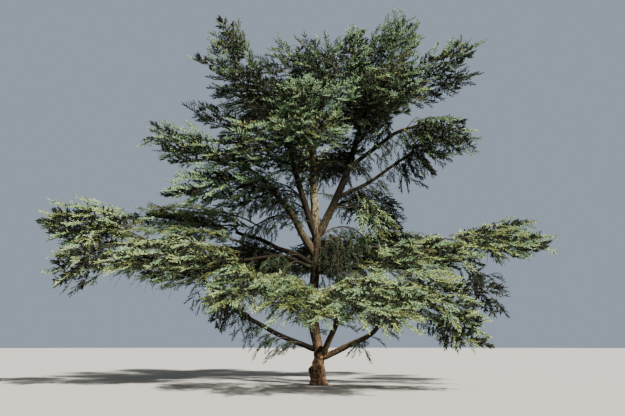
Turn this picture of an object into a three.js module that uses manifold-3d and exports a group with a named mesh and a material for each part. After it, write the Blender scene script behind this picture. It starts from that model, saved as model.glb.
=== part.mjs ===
// A wide, old cedar: one trunk that divides low down and again at a third of its
// height, near-level boughs, and foliage lying in plates along them.
// Millimetres, +Z up, origin at the middle of the flat cut at ground level.
import * as THREE from 'three';
import { mergeVertices } from 'three/addons/utils/BufferGeometryUtils.js';
import Module from 'manifold-3d';

// ---- driving dimensions ----------------------------------------------------
const GAP = 1.2;              // clearance between neighbouring solids
const POCKET = 4;             // clearance of the pocket a limb's end sits in
const LIMB_SIDES = 6;
const LIMB_STEPS = 6;
const TRUNK_SIDES = 12;
const MASS_SIDES = 9;
const MASS_STEPS = 7;
const UNEVEN = 0.22;          // how far a mass's surface wanders from its smooth form
const LIMB_WANDER = 0.10;     // kink of a limb, as a share of its girth
const FLARE_LOBES = 5;        // buttresses of the root flare

// The trunk, station by station: height, centre x, centre y, girth (diameter), flare lobing.
const TRUNK = [
  [0, 0, 0, 800, 0.16],
  [180, -5, 0, 690, 0.13],
  [420, -25, 0, 650, 0.09],
  [640, -30, 0, 630, 0.08],
  [920, 10, 0, 520, 0.06],
  [1270, 40, 0, 470, 0.05],
  [1780, -40, 0, 430, 0.04],
  [2480, -160, 0, 410, 0.03],
  [3670, -215, 0, 415, 0.03],
  [5560, -80, 0, 420, 0.03],
  [6390, -60, 10, 420, 0.04],
  [7970, -140, 100, 350, 0.03],
  [9120, -190, 250, 330, 0.03],
  [11900, -120, 500, 230, 0.03],
  [13500, 230, 600, 160, 0.03],
  [14830, 730, 600, 90, 0.03],
];

// Limbs: where each leaves its parent, where it ends, how far it bends off the
// straight line at one third and two thirds, and its girth at both ends.
const LIMBS = [
  { name: 'stem_left_outer', on: 'trunk', from: [-260, 0, 5930], to: [-3210, -600, 9650], bend: [[160, 20, 130], [220, -60, 180]], girth: [360, 150] },
  { name: 'stem_left_inner', on: 'trunk', from: [-130, 0, 6580], to: [-3360, -900, 13470], bend: [[300, -110, 180], [630, -60, 340]], girth: [340, 120] },
  { name: 'stem_right', on: 'trunk', from: [10, 0, 6580], to: [3220, 600, 14560], bend: [[170, -400, -50], [-80, -300, 40]], girth: [400, 140] },
  { name: 'bough_right_upper', on: 'stem_right', from: [1510, -200, 9770], to: [5500, 300, 12290], bend: [[-120, -90, 200], [-140, -60, 240]], girth: [220, 110] },
  { name: 'bough_right_mid', on: 'stem_right', from: [940, -200, 8370], to: [4790, 1000, 10940], bend: [[50, 110, -130], [-20, 70, -10]], girth: [200, 110] },
  { name: 'bough_right_inner', on: 'stem_right', from: [660, -100, 7780], to: [1980, 1300, 8740], bend: [[-30, -20, 70], [-30, -10, 60]], girth: [160, 100] },
  { name: 'bough_left_mid', on: 'trunk', from: [-220, 0, 5290], to: [-3890, 1000, 6950], bend: [[60, 60, 90], [60, 130, 80]], girth: [260, 150] },
  { name: 'bough_left_mid_low', on: 'trunk', from: [-220, 0, 5110], to: [-3360, -1500, 5220], bend: [[-50, 160, 340], [-120, 240, 320]], girth: [200, 120] },
  { name: 'bough_left_low', on: 'trunk', from: [-90, 0, 1480], to: [-5270, -1800, 4970], bend: [[-270, 60, -300], [-420, 10, -410]], girth: [240, 120] },
  { name: 'bough_right_low_bare', on: 'trunk', from: [130, 0, 1140], to: [2640, -3700, 2980], bend: [[550, 480, -30], [470, 310, -40]], girth: [280, 130] },
  { name: 'bough_right_low_rising', on: 'trunk', from: [180, 0, 1180], to: [950, -2800, 3430], bend: [[150, 250, 200], [80, 160, 140]], girth: [280, 170] },
  { name: 'bough_right_tier', on: 'trunk', from: [-80, 0, 4920], to: [2370, -900, 5040], bend: [[50, 140, 20], [30, 100, 10]], girth: [220, 140] },
  { name: 'bough_back_left', on: 'trunk', from: [-170, 0, 5380], to: [-1870, 2900, 5720], bend: [[-50, -30, 60], [-30, -20, 30]], girth: [200, 120] },
  { name: 'bough_back_mid', on: 'trunk', from: [-130, 0, 5700], to: [240, 3200, 6270], bend: [[10, -10, 50], [0, -10, 30]], girth: [180, 110] },
  { name: 'bough_back_right', on: 'trunk', from: [-30, 0, 5930], to: [1820, 2400, 6400], bend: [[-30, 20, 50], [-20, 10, 30]], girth: [200, 120] },
];

// Foliage masses: inner end, outer end, breadth across, depth, how far the middle
// arches up, how far the rim sinks (as a share of the breadth), and where it is
// widest (below 1 nearer the inner end, above 1 nearer the tip).
const MASSES = [
  { name: 'mass_spire_left', from: [-3800, -800, 13900], to: [-4400, -1000, 16800], breadth: 2100, depth: 2000, arch: 0, drape: 0, taper: 1.25 },
  { name: 'mass_left_high_arm', from: [-3700, -1300, 13800], to: [-5900, -1600, 14700], breadth: 2200, depth: 950, arch: 50, drape: 0.1, taper: 0.9 },
  { name: 'mass_left_shoulder', from: [-1100, -1600, 12850], to: [-4750, -2200, 13450], breadth: 2800, depth: 1750, arch: 200, drape: 0.15, taper: 0.95 },
  { name: 'mass_second_top', from: [-1400, 900, 14500], to: [-2150, 1100, 17100], breadth: 1600, depth: 1400, arch: 0, drape: 0, taper: 1.1 },
  { name: 'mass_left_dark', from: [-2350, 800, 12850], to: [-5500, 800, 14050], breadth: 2300, depth: 1200, arch: 100, drape: 0.1, taper: 0.9 },
  { name: 'mass_left_mid_arm', from: [-2700, 400, 11550], to: [-6400, 300, 12950], breadth: 2400, depth: 1350, arch: 100, drape: 0.1, taper: 0.9 },
  { name: 'mass_left_arm', from: [-4050, -700, 9900], to: [-8200, -1200, 11100], breadth: 3000, depth: 1600, arch: 200, drape: 0.2, taper: 0.95 },
  { name: 'mass_left_body', from: [-800, -1000, 10200], to: [-4650, -3400, 9450], breadth: 3200, depth: 2200, arch: 300, drape: 0.2, taper: 0.95 },
  { name: 'mass_left_under', from: [-1600, 100, 8750], to: [-6850, -2000, 8000], breadth: 4000, depth: 2150, arch: 400, drape: 0.12, taper: 1.0 },
  { name: 'mass_dome_left', from: [-100, -200, 12950], to: [0, -300, 16450], breadth: 2700, depth: 2600, arch: 0, drape: 0, taper: 1.3 },
  { name: 'mass_dome_right', from: [1500, 500, 13650], to: [1900, 600, 17250], breadth: 2800, depth: 2800, arch: 0, drape: 0, taper: 1.3 },
  { name: 'mass_centre_body', from: [200, 200, 12900], to: [-1100, -4000, 11900], breadth: 3700, depth: 1800, arch: 250, drape: 0.15, taper: 0.9 },
  { name: 'mass_front_skirt', from: [50, 500, 11400], to: [-1200, -4600, 10150], breadth: 4400, depth: 1600, arch: 350, drape: 0.2, taper: 0.95 },
  { name: 'mass_centre_back', from: [-550, 900, 10300], to: [550, 6800, 12100], breadth: 5400, depth: 2600, arch: 400, drape: 0.15, taper: 0.95 },
  { name: 'mass_tall_tip', from: [3300, 700, 14050], to: [4450, 900, 18700], breadth: 3000, depth: 2400, arch: 0, drape: 0, taper: 0.74 },
  { name: 'mass_right_arm', from: [4250, 200, 14450], to: [8550, 200, 16700], breadth: 2400, depth: 1300, arch: -200, drape: 0.1, taper: 0.8 },
  { name: 'mass_right_arm_under', from: [4000, 1200, 13950], to: [8400, 1500, 15300], breadth: 2400, depth: 1450, arch: 100, drape: 0.1, taper: 0.85 },
  { name: 'mass_right_body', from: [1250, -600, 13100], to: [5150, -2000, 13100], breadth: 3200, depth: 2200, arch: 250, drape: 0.15, taper: 0.95 },
  { name: 'mass_right_fringe', from: [1550, 100, 11450], to: [3850, -500, 11450], breadth: 2800, depth: 1200, arch: 200, drape: 0.1, taper: 0.9 },
  { name: 'mass_right_hang_outer', from: [4050, 200, 11500], to: [7700, 300, 11000], breadth: 2800, depth: 2600, arch: 250, drape: 0.1, taper: 0.95 },
  { name: 'mass_right_hang_inner', from: [5150, 1400, 11600], to: [4350, 1900, 9150], breadth: 2200, depth: 2600, arch: 0, drape: 0, taper: 0.95 },
  { name: 'mass_upper_back_left', from: [-850, 1200, 12800], to: [-3200, 6200, 15100], breadth: 4200, depth: 2700, arch: 400, drape: 0.2, taper: 0.95 },
  { name: 'mass_upper_back_right', from: [1350, 1300, 13050], to: [4200, 6200, 15200], breadth: 4200, depth: 2500, arch: 400, drape: 0.2, taper: 0.95 },
  { name: 'mass_inner_right', from: [1350, 900, 8800], to: [4250, 4000, 7700], breadth: 3200, depth: 1600, arch: 200, drape: 0.1, taper: 0.95 },
  { name: 'mass_inner_right_weep', from: [2100, -400, 8200], to: [3200, -1300, 5550], breadth: 1300, depth: 1000, arch: 100, drape: 0, taper: 1.0 },
  { name: 'mass_centre_weep', from: [550, -800, 6350], to: [1100, -1800, 4200], breadth: 1500, depth: 1100, arch: 100, drape: 0, taper: 1.0 },
  { name: 'mass_far_left', from: [-8050, -600, 6200], to: [-12350, -1400, 7100], breadth: 3800, depth: 2250, arch: 400, drape: 0.2, taper: 1.0 },
  { name: 'mass_far_left_droop', from: [-8250, -1600, 5700], to: [-11050, -2600, 4050], breadth: 3000, depth: 1800, arch: 400, drape: 0.1, taper: 0.95 },
  { name: 'mass_left_plate_top', from: [-2950, 1000, 7050], to: [-9750, 1300, 7600], breadth: 3200, depth: 1300, arch: 250, drape: 0.15, taper: 0.95 },
  { name: 'mass_left_plate', from: [-2850, -1000, 5050], to: [-9800, -2200, 5000], breadth: 3800, depth: 2150, arch: 400, drape: 0.2, taper: 0.95 },
  { name: 'mass_left_cascade', from: [-1100, -2000, 4450], to: [-3900, -6000, 3050], breadth: 3200, depth: 1500, arch: 400, drape: 0.2, taper: 0.95 },
  { name: 'mass_left_front', from: [-1000, -3200, 4050], to: [-1050, -8200, 2400], breadth: 2100, depth: 1100, arch: 350, drape: 0.2, taper: 1.0 },
  { name: 'mass_front_centre', from: [0, -3600, 3350], to: [-50, -7800, 2250], breadth: 1900, depth: 900, arch: 200, drape: 0.2, taper: 1.0 },
  { name: 'mass_left_curtain', from: [-3100, -2800, 3800], to: [-3900, -3800, 2050], breadth: 2200, depth: 900, arch: 200, drape: 0.1, taper: 0.95 },
  { name: 'mass_left_back', from: [-1600, 2200, 5500], to: [-6650, 8200, 6500], breadth: 4800, depth: 2100, arch: 300, drape: 0.3, taper: 0.95 },
  { name: 'mass_right_tip', from: [5650, 200, 6050], to: [10900, -300, 6050], breadth: 3600, depth: 1500, arch: 350, drape: 0.2, taper: 0.95 },
  { name: 'mass_right_tip_upper', from: [6800, 1900, 6400], to: [11350, 2800, 7750], breadth: 2600, depth: 1000, arch: 150, drape: 0.1, taper: 0.95 },
  { name: 'mass_right_tier', from: [1700, -800, 5100], to: [7050, -2400, 5150], breadth: 3200, depth: 1500, arch: 250, drape: 0.2, taper: 1.0 },
  { name: 'mass_right_front', from: [650, -2200, 3750], to: [2650, -8000, 2200], breadth: 3800, depth: 1600, arch: 500, drape: 0.2, taper: 0.95 },
  { name: 'mass_right_front_outer', from: [3200, -3000, 4000], to: [5700, -5600, 2500], breadth: 3400, depth: 1600, arch: 450, drape: 0.2, taper: 0.95 },
  { name: 'mass_right_droop', from: [4100, -2600, 2750], to: [6250, -4600, 1400], breadth: 2800, depth: 1200, arch: 400, drape: 0.1, taper: 0.95 },
  { name: 'mass_right_edge', from: [6350, -900, 5100], to: [7650, -2000, 2800], breadth: 2800, depth: 1300, arch: 300, drape: 0.1, taper: 0.95 },
  { name: 'mass_right_back', from: [1600, 2200, 6200], to: [7550, 8200, 6850], breadth: 4800, depth: 2200, arch: 400, drape: 0.3, taper: 0.95 },
  { name: 'mass_back', from: [250, 2400, 6050], to: [200, 9400, 6400], breadth: 4800, depth: 2200, arch: 400, drape: 0.3, taper: 0.95 },
];

// ---- helpers ---------------------------------------------------------------
const wasm = await Module();
wasm.setup();

function random(seed) {
  let s = (seed * 2654435761) >>> 0;
  return () => {
    s = (s + 0x6d2b79f5) >>> 0;
    let t = s;
    t = Math.imul(t ^ (t >>> 15), t | 1);
    t ^= t + Math.imul(t ^ (t >>> 7), t | 61);
    return ((t ^ (t >>> 14)) >>> 0) / 4294967296;
  };
}

const UP = new THREE.Vector3(0, 0, 1);
const RIGHT = new THREE.Vector3(1, 0, 0);

function frameAlong(dir) {
  const side = new THREE.Vector3().crossVectors(dir, UP);
  if (side.length() < 0.5) side.copy(RIGHT).addScaledVector(dir, -RIGHT.dot(dir));
  side.normalize();
  const lift = new THREE.Vector3().crossVectors(side, dir).normalize();
  return { side, lift };
}

function toSolid(geometry) {
  geometry.deleteAttribute('normal');
  geometry.deleteAttribute('uv');
  const merged = mergeVertices(geometry, 1e-3);
  return new wasm.Manifold(new wasm.Mesh({
    numProp: 3,
    vertProperties: new Float32Array(merged.attributes.position.array),
    triVerts: new Uint32Array(merged.index.array),
  }));
}

function toGeometry(solid) {
  const mesh = solid.getMesh();
  const geometry = new THREE.BufferGeometry();
  geometry.setAttribute('position', new THREE.BufferAttribute(new Float32Array(mesh.vertProperties), 3));
  geometry.setIndex(new THREE.BufferAttribute(new Uint32Array(mesh.triVerts), 1));
  return geometry;
}

function largestPiece(solid) {
  const pieces = solid.decompose();
  let best = pieces[0];
  for (const piece of pieces) if (piece.volume() > best.volume()) best = piece;
  return best;
}

// A unit cylinder along +Y, re-laid ring by ring: place(t, angle) gives each point.
function relaidCylinder(sides, steps, place) {
  const geometry = new THREE.CylinderGeometry(1, 1, 1, sides, steps);
  const p = geometry.attributes.position;
  for (let i = 0; i < p.count; i++) {
    const x = p.getX(i), z = p.getZ(i);
    const t = p.getY(i) + 0.5;
    const rim = Math.hypot(x, z) > 0.5;
    const q = place(t, Math.atan2(z, x), rim);
    p.setXYZ(i, q.x, q.y, q.z);
  }
  return toSolid(geometry);
}

// ---- trunk -----------------------------------------------------------------
function trunkSolid(grow) {
  const last = TRUNK.length - 1;
  return relaidCylinder(TRUNK_SIDES, last, (t, angle, rim) => {
    const [h, x, y, girth, lobing] = TRUNK[Math.round(t * last)];
    const lobes = 1 + lobing * Math.cos(FLARE_LOBES * angle + h * 0.0004);
    const r = rim ? (girth / 2) * lobes + grow : 0;
    // the underside stays flat on the ground; only the top grows along the axis
    const z = h + (h === 0 ? (grow > 0 ? -50 : 0) : (t === 1 ? grow : 0));
    return new THREE.Vector3(x + r * Math.cos(angle), y - r * Math.sin(angle), z);
  });
}

// ---- limbs -----------------------------------------------------------------
function limbCurve(row) {
  const a = new THREE.Vector3(...row.from);
  const d = new THREE.Vector3(...row.to);
  const b = a.clone().lerp(d, 1 / 3).add(new THREE.Vector3(...row.bend[0]));
  const c = a.clone().lerp(d, 2 / 3).add(new THREE.Vector3(...row.bend[1]));
  return new THREE.CatmullRomCurve3([a, b, c, d], false, 'centripetal');
}

function limbSolid(row, index, grow) {
  const curve = limbCurve(row);
  const rnd = random(index + 11);
  const wander = [];
  for (let i = 0; i <= LIMB_STEPS; i++) wander.push([rnd() - 0.5, rnd() - 0.5]);
  return relaidCylinder(LIMB_SIDES, LIMB_STEPS, (t, angle, rim) => {
    const at = curve.getPoint(t);
    const dir = curve.getTangent(Math.min(Math.max(t, 0.001), 0.999)).normalize();
    const { side, lift } = frameAlong(dir);
    const girth = row.girth[0] + (row.girth[1] - row.girth[0]) * Math.pow(t, 0.85);
    // a collar where the limb leaves its parent
    const collar = 1 + 0.28 * Math.pow(Math.max(0, 1 - t * 5), 2);
    const k = Math.round(t * LIMB_STEPS);
    const inside = k > 0 && k < LIMB_STEPS ? LIMB_WANDER * girth * 2 : 0;
    at.addScaledVector(side, wander[k][0] * inside).addScaledVector(lift, wander[k][1] * inside);
    if (grow > 0 && t > 0.999) at.addScaledVector(dir, grow);
    if (grow > 0 && t < 0.001) at.addScaledVector(dir, -grow);
    if (rim) {
      const r = (girth / 2) * collar + grow;
      at.addScaledVector(side, r * Math.cos(angle)).addScaledVector(lift, r * Math.sin(angle));
    }
    return at;
  });
}

// ---- foliage masses --------------------------------------------------------
function massSolid(row, index, grow) {
  const a = new THREE.Vector3(...row.from);
  const b = new THREE.Vector3(...row.to);
  const dir = b.clone().sub(a).normalize();
  const { side, lift } = frameAlong(dir);
  const length = a.distanceTo(b) + 2 * grow;
  const start = a.clone().addScaledVector(dir, -grow);
  const rnd = random(index * 7 + 3);
  const phase = [rnd(), rnd(), rnd(), rnd()].map((v) => v * Math.PI * 2);
  const step = [];
  for (let i = 0; i <= MASS_STEPS; i++) step.push([rnd() - 0.5, rnd() - 0.5, rnd()]);
  const upright = Math.abs(dir.z) > 0.85;
  const geometry = new THREE.SphereGeometry(1, MASS_SIDES, MASS_STEPS);
  const p = geometry.attributes.position;
  for (let i = 0; i < p.count; i++) {
    const x = p.getX(i), y = p.getY(i), z = p.getZ(i);
    const ring = Math.round(Math.acos(Math.min(1, Math.max(-1, y))) / Math.PI * MASS_STEPS);
    const u = ring / MASS_STEPS;
    const angle = Math.atan2(-z, x);
    const end = ring === 0 || ring === MASS_STEPS;
    // widest a little inward of the middle, blunt at the inner end, narrower outside
    const swell = end ? 0 : Math.pow(Math.sin(Math.PI * Math.pow(u, row.taper)), 0.62);
    const rough = 1
      + UNEVEN * (0.65 * Math.sin(2 * angle + phase[0] + 4.2 * u)
      + 0.55 * Math.sin(3 * angle + phase[1] - 5.1 * u)
      + 0.9 * step[ring][2] - 0.45);
    const across = Math.cos(angle) * swell * rough * row.breadth / 2;
    const above = Math.sin(angle) * swell * rough * row.depth / 2;
    const q = start.clone().addScaledVector(dir, u * length);
    q.addScaledVector(UP, row.arch * 4 * u * (1 - u));
    if (!end) {
      const away = Math.hypot(across, above) || 1;
      q.addScaledVector(side, across + grow * across / away);
      q.addScaledVector(lift, above + grow * above / away);
      q.addScaledVector(side, step[ring][0] * row.breadth * 0.08);
      q.addScaledVector(upright ? lift : UP, step[ring][1] * row.depth * 0.12);
      if (!upright) q.addScaledVector(UP, -row.drape * Math.abs(Math.cos(angle)) ** 2 * swell * row.breadth / 2);
    }
    p.setXYZ(i, q.x, q.y, q.z);
  }
  return toSolid(geometry);
}

// ---- assembly --------------------------------------------------------------
const group = new THREE.Group();
const bark = (name) => new THREE.MeshStandardMaterial({ name, color: 0x7d6450, roughness: 0.95, metalness: 0 });
const leaf = (name) => new THREE.MeshStandardMaterial({ name, color: 0x6d8070, roughness: 0.8, metalness: 0 });

function addNode(name, solid, material) {
  const mesh = new THREE.Mesh(toGeometry(solid), material);
  mesh.name = name;
  group.add(mesh);
}

const trunk = trunkSolid(0);
addNode('trunk', trunk, bark('trunk_bark'));
const cutters = [trunkSolid(POCKET)];

const limbCutters = new Map([['trunk', cutters[0]]]);
LIMBS.forEach((row, i) => {
  let solid = limbSolid(row, i, 0);
  for (const cutter of limbCutters.values()) solid = solid.subtract(cutter);
  addNode(row.name, largestPiece(solid), bark(`${row.name}_bark`));
  limbCutters.set(row.name, limbSolid(row, i, GAP));
  cutters.push(limbSolid(row, i, POCKET));
});
const wood = cutters.reduce((sum, solid) => sum.add(solid));

let filled = null;
MASSES.forEach((row, i) => {
  let solid = massSolid(row, i, 0).subtract(wood);
  if (filled) solid = solid.subtract(filled);
  solid = largestPiece(solid);
  addNode(row.name, solid, leaf(`${row.name}_needles`));
  const grown = massSolid(row, i, POCKET);
  filled = filled ? filled.add(grown) : grown;
});

export default group;
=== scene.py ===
"""The looks of a wide, old cedar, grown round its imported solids: bark with relief on the trunk,
stems and boughs, and foliage that grows on from them by a seeded branching rule.
Metres, +Z up, the same frame as the solids."""
import math

import bpy
import numpy as np
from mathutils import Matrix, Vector


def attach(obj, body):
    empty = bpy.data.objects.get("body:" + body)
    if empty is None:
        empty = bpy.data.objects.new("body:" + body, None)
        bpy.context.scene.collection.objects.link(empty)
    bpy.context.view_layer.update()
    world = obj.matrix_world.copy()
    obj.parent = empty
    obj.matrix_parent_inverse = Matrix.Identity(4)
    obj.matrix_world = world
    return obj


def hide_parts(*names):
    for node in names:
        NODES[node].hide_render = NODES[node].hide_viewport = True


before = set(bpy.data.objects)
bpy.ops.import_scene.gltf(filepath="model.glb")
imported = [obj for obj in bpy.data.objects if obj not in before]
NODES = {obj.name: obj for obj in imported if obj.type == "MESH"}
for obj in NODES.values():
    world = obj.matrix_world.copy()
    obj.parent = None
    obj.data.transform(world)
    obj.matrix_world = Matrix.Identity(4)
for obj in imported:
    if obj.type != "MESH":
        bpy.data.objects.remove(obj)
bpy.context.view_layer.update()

# ---- camera: the photograph's place, lens and tilt -------------------------
EYE = (-0.24, -27.5, 1.70)
PITCH = 12.7
LENS = 35.0

camera = bpy.data.objects.new("camera", bpy.data.cameras.new("camera"))
bpy.context.scene.collection.objects.link(camera)
camera.location = EYE
camera.rotation_euler = (math.radians(90 + PITCH), 0, 0)
camera.data.lens = LENS
camera.data.sensor_width = 36.0
camera.data.sensor_fit = "HORIZONTAL"
camera.data.clip_end = 1000
bpy.context.scene.camera = camera

# ---- sizes (mm) of the trunk and limbs, as in the solids -------------------
TRUNK = [
    [0, 0, 0, 800, 0.16],
    [180, -5, 0, 690, 0.13],
    [420, -25, 0, 650, 0.09],
    [640, -30, 0, 630, 0.08],
    [920, 10, 0, 520, 0.06],
    [1270, 40, 0, 470, 0.05],
    [1780, -40, 0, 430, 0.04],
    [2480, -160, 0, 410, 0.03],
    [3670, -215, 0, 415, 0.03],
    [5560, -80, 0, 420, 0.03],
    [6390, -60, 10, 420, 0.04],
    [7970, -140, 100, 350, 0.03],
    [9120, -190, 250, 330, 0.03],
    [11900, -120, 500, 230, 0.03],
    [13500, 230, 600, 160, 0.03],
    [14830, 730, 600, 90, 0.03],
]
# name: parent, from, to, bend at a third and two thirds, girth at foot and end
LIMBS = {
    "stem_left_outer": {"on": "trunk", "from": [-260, 0, 5930], "to": [-3210, -600, 9650], "bend": [[160, 20, 130], [220, -60, 180]], "girth": [360, 150]},
    "stem_left_inner": {"on": "trunk", "from": [-130, 0, 6580], "to": [-3360, -900, 13470], "bend": [[300, -110, 180], [630, -60, 340]], "girth": [340, 120]},
    "stem_right": {"on": "trunk", "from": [10, 0, 6580], "to": [3220, 600, 14560], "bend": [[170, -400, -50], [-80, -300, 40]], "girth": [400, 140]},
    "bough_right_upper": {"on": "stem_right", "from": [1510, -200, 9770], "to": [5500, 300, 12290], "bend": [[-120, -90, 200], [-140, -60, 240]], "girth": [220, 110]},
    "bough_right_mid": {"on": "stem_right", "from": [940, -200, 8370], "to": [4790, 1000, 10940], "bend": [[50, 110, -130], [-20, 70, -10]], "girth": [200, 110]},
    "bough_right_inner": {"on": "stem_right", "from": [660, -100, 7780], "to": [1980, 1300, 8740], "bend": [[-30, -20, 70], [-30, -10, 60]], "girth": [160, 100]},
    "bough_left_mid": {"on": "trunk", "from": [-220, 0, 5290], "to": [-3890, 1000, 6950], "bend": [[60, 60, 90], [60, 130, 80]], "girth": [260, 150]},
    "bough_left_mid_low": {"on": "trunk", "from": [-220, 0, 5110], "to": [-3360, -1500, 5220], "bend": [[-50, 160, 340], [-120, 240, 320]], "girth": [200, 120]},
    "bough_left_low": {"on": "trunk", "from": [-90, 0, 1480], "to": [-5270, -1800, 4970], "bend": [[-270, 60, -300], [-420, 10, -410]], "girth": [240, 120]},
    "bough_right_low_bare": {"on": "trunk", "from": [130, 0, 1140], "to": [2640, -3700, 2980], "bend": [[550, 480, -30], [470, 310, -40]], "girth": [280, 130]},
    "bough_right_low_rising": {"on": "trunk", "from": [180, 0, 1180], "to": [950, -2800, 3430], "bend": [[150, 250, 200], [80, 160, 140]], "girth": [280, 170]},
    "bough_right_tier": {"on": "trunk", "from": [-80, 0, 4920], "to": [2370, -900, 5040], "bend": [[50, 140, 20], [30, 100, 10]], "girth": [220, 140]},
    "bough_back_left": {"on": "trunk", "from": [-170, 0, 5380], "to": [-1870, 2900, 5720], "bend": [[-50, -30, 60], [-30, -20, 30]], "girth": [200, 120]},
    "bough_back_mid": {"on": "trunk", "from": [-130, 0, 5700], "to": [240, 3200, 6270], "bend": [[10, -10, 50], [0, -10, 30]], "girth": [180, 110]},
    "bough_back_right": {"on": "trunk", "from": [-30, 0, 5930], "to": [1820, 2400, 6400], "bend": [[-30, 20, 50], [-20, 10, 30]], "girth": [200, 120]},
}
# thin branches that no solid has: the points they pass through, girth at foot and end
SIDE_BRANCHES = {
    "side_left_low": {"through": [[-1090, -200, 7340], [-1540, -350, 7440], [-2090, -400, 7390], [-2730, -300, 7080], [-3280, -200, 6820]], "girth": [100, 45]},
    "side_left_mid": {"through": [[-1820, -400, 8280], [-2180, -600, 8460], [-2530, -800, 8320], [-3130, -1000, 7950]], "girth": [90, 40]},
    "side_left_high": {"through": [[-770, -300, 8350], [-1270, -600, 8560], [-1750, -900, 8530], [-2410, -1200, 8680]], "girth": [90, 40]},
    "side_left_rear": {"through": [[-680, -200, 8280], [-1160, 200, 8810], [-1700, 600, 9210], [-2400, 1000, 9520]], "girth": [90, 40]},
    "side_back": {"through": [[-220, 100, 7440], [-750, 1000, 8170], [-1460, 2000, 8710], [-2330, 3000, 8730]], "girth": [100, 45]},
    "side_middle": {"through": [[-260, 300, 9130], [-590, 100, 9560], [-960, -300, 9690], [-1460, -600, 10040]], "girth": [80, 40]},
    "side_right_fall": {"through": [[1420, -200, 9670], [1020, 100, 10200], [600, 500, 10330], [170, 800, 9960]], "girth": [80, 35]},
    "side_right_rear": {"through": [[20, 400, 10050], [470, 900, 10760], [1030, 1400, 10970], [1650, 1900, 10710]], "girth": [80, 35]},
    "side_right_low": {"through": [[100, 0, 6490], [620, 300, 6960], [1340, 700, 7140], [2130, 1100, 6870]], "girth": [100, 45]},
    "side_far_left": {"through": [[-6810, -1600, 5860], [-7620, -1400, 6240], [-8360, -1200, 6590], [-9110, -1100, 6830]], "girth": [75, 50]},
    "side_plate": {"through": [[-3060, -400, 6050], [-4150, -700, 6410], [-5450, -1000, 6630], [-7040, -1200, 6680]], "girth": [90, 40]},
    "side_plate_high": {"through": [[-2580, 200, 6990], [-3540, -400, 7390], [-4730, -1000, 7530], [-6160, -1400, 7630]], "girth": [80, 35]},
    "side_far_left_low": {"through": [[-7180, -1700, 5320], [-7830, -1700, 5410], [-8430, -1800, 5310]], "girth": [60, 35]},
}
TRUNK_LOBES = 5

# ---- foliage: how it is laid out -------------------------------------------
SEED = 4177
# regions: which masses are grown and joined together
REGIONS = {
    "upper_left": ["mass_spire_left", "mass_left_high_arm", "mass_left_shoulder", "mass_second_top", "mass_left_dark", "mass_left_mid_arm"],
    "mid_left": ["mass_left_arm", "mass_left_body", "mass_left_under"],
    "upper_middle": ["mass_dome_left", "mass_dome_right", "mass_centre_body", "mass_front_skirt", "mass_centre_back"],
    "upper_right": ["mass_tall_tip", "mass_right_arm", "mass_right_arm_under", "mass_right_body", "mass_right_fringe", "mass_right_hang_outer", "mass_right_hang_inner"],
    "upper_back": ["mass_upper_back_left", "mass_upper_back_right", "mass_inner_right", "mass_inner_right_weep", "mass_centre_weep"],
    "low_left": ["mass_far_left", "mass_far_left_droop", "mass_left_plate_top", "mass_left_plate", "mass_left_back"],
    "low_front": ["mass_left_cascade", "mass_left_front", "mass_front_centre", "mass_left_curtain", "mass_right_front"],
    "low_right": ["mass_right_tip", "mass_right_tip_upper", "mass_right_tier", "mass_right_front_outer", "mass_right_droop", "mass_right_edge", "mass_right_back", "mass_back"],
}
# per mass: style of spray, pitch of the sprays in degrees (down is negative), closeness of the sprays
STYLE = {
    "mass_spire_left": ("rise", 20, 1.0), "mass_left_high_arm": ("rise", 14, 0.62), "mass_left_shoulder": ("flat", 8, 1.0),
    "mass_second_top": ("rise", 22, 1.05), "mass_left_dark": ("flat", 4, 0.85), "mass_left_mid_arm": ("rise", 12, 0.98),
    "mass_left_arm": ("flat", 4, 0.9), "mass_left_body": ("flat", -6, 0.86), "mass_left_under": ("flat", -8, 0.92),
    "mass_dome_left": ("rise", 16, 1.0), "mass_dome_right": ("rise", 14, 1.0), "mass_centre_body": ("flat", 4, 1.0),
    "mass_front_skirt": ("flat", -6, 1.1), "mass_centre_back": ("flat", -2, 0.66),
    "mass_tall_tip": ("rise", 28, 1.2), "mass_right_arm": ("rise", 14, 0.85), "mass_right_arm_under": ("flat", 8, 1.0),
    "mass_right_body": ("flat", 4, 1.0), "mass_right_fringe": ("weep", -45, 1.0), "mass_right_hang_outer": ("weep", -28, 1.1),
    "mass_right_hang_inner": ("weep", -46, 0.80), "mass_upper_back_left": ("flat", 2, 0.78), "mass_upper_back_right": ("flat", 2, 0.78),
    "mass_inner_right": ("weep", -30, 1.1), "mass_inner_right_weep": ("weep", -62, 1.35), "mass_centre_weep": ("weep", -70, 1.5),
    "mass_far_left": ("flat", -2, 0.85), "mass_far_left_droop": ("weep", -38, 0.8), "mass_left_plate_top": ("flat", 0, 0.85),
    "mass_left_plate": ("flat", -8, 1.0), "mass_left_cascade": ("flat", -20, 1.15), "mass_left_front": ("flat", -24, 1.4),
    "mass_front_centre": ("flat", -22, 1.4), "mass_left_curtain": ("weep", -60, 0.7), "mass_left_back": ("flat", -10, 0.72),
    "mass_right_tip": ("flat", -6, 1.0), "mass_right_tip_upper": ("flat", 6, 0.9), "mass_right_tier": ("flat", -8, 1.0),
    "mass_right_front": ("flat", -20, 1.1), "mass_right_front_outer": ("flat", -18, 1.0), "mass_right_droop": ("weep", -45, 0.9),
    "mass_right_edge": ("weep", -40, 0.7), "mass_right_back": ("flat", -10, 0.72), "mass_back": ("flat", -12, 0.72),
}
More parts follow.
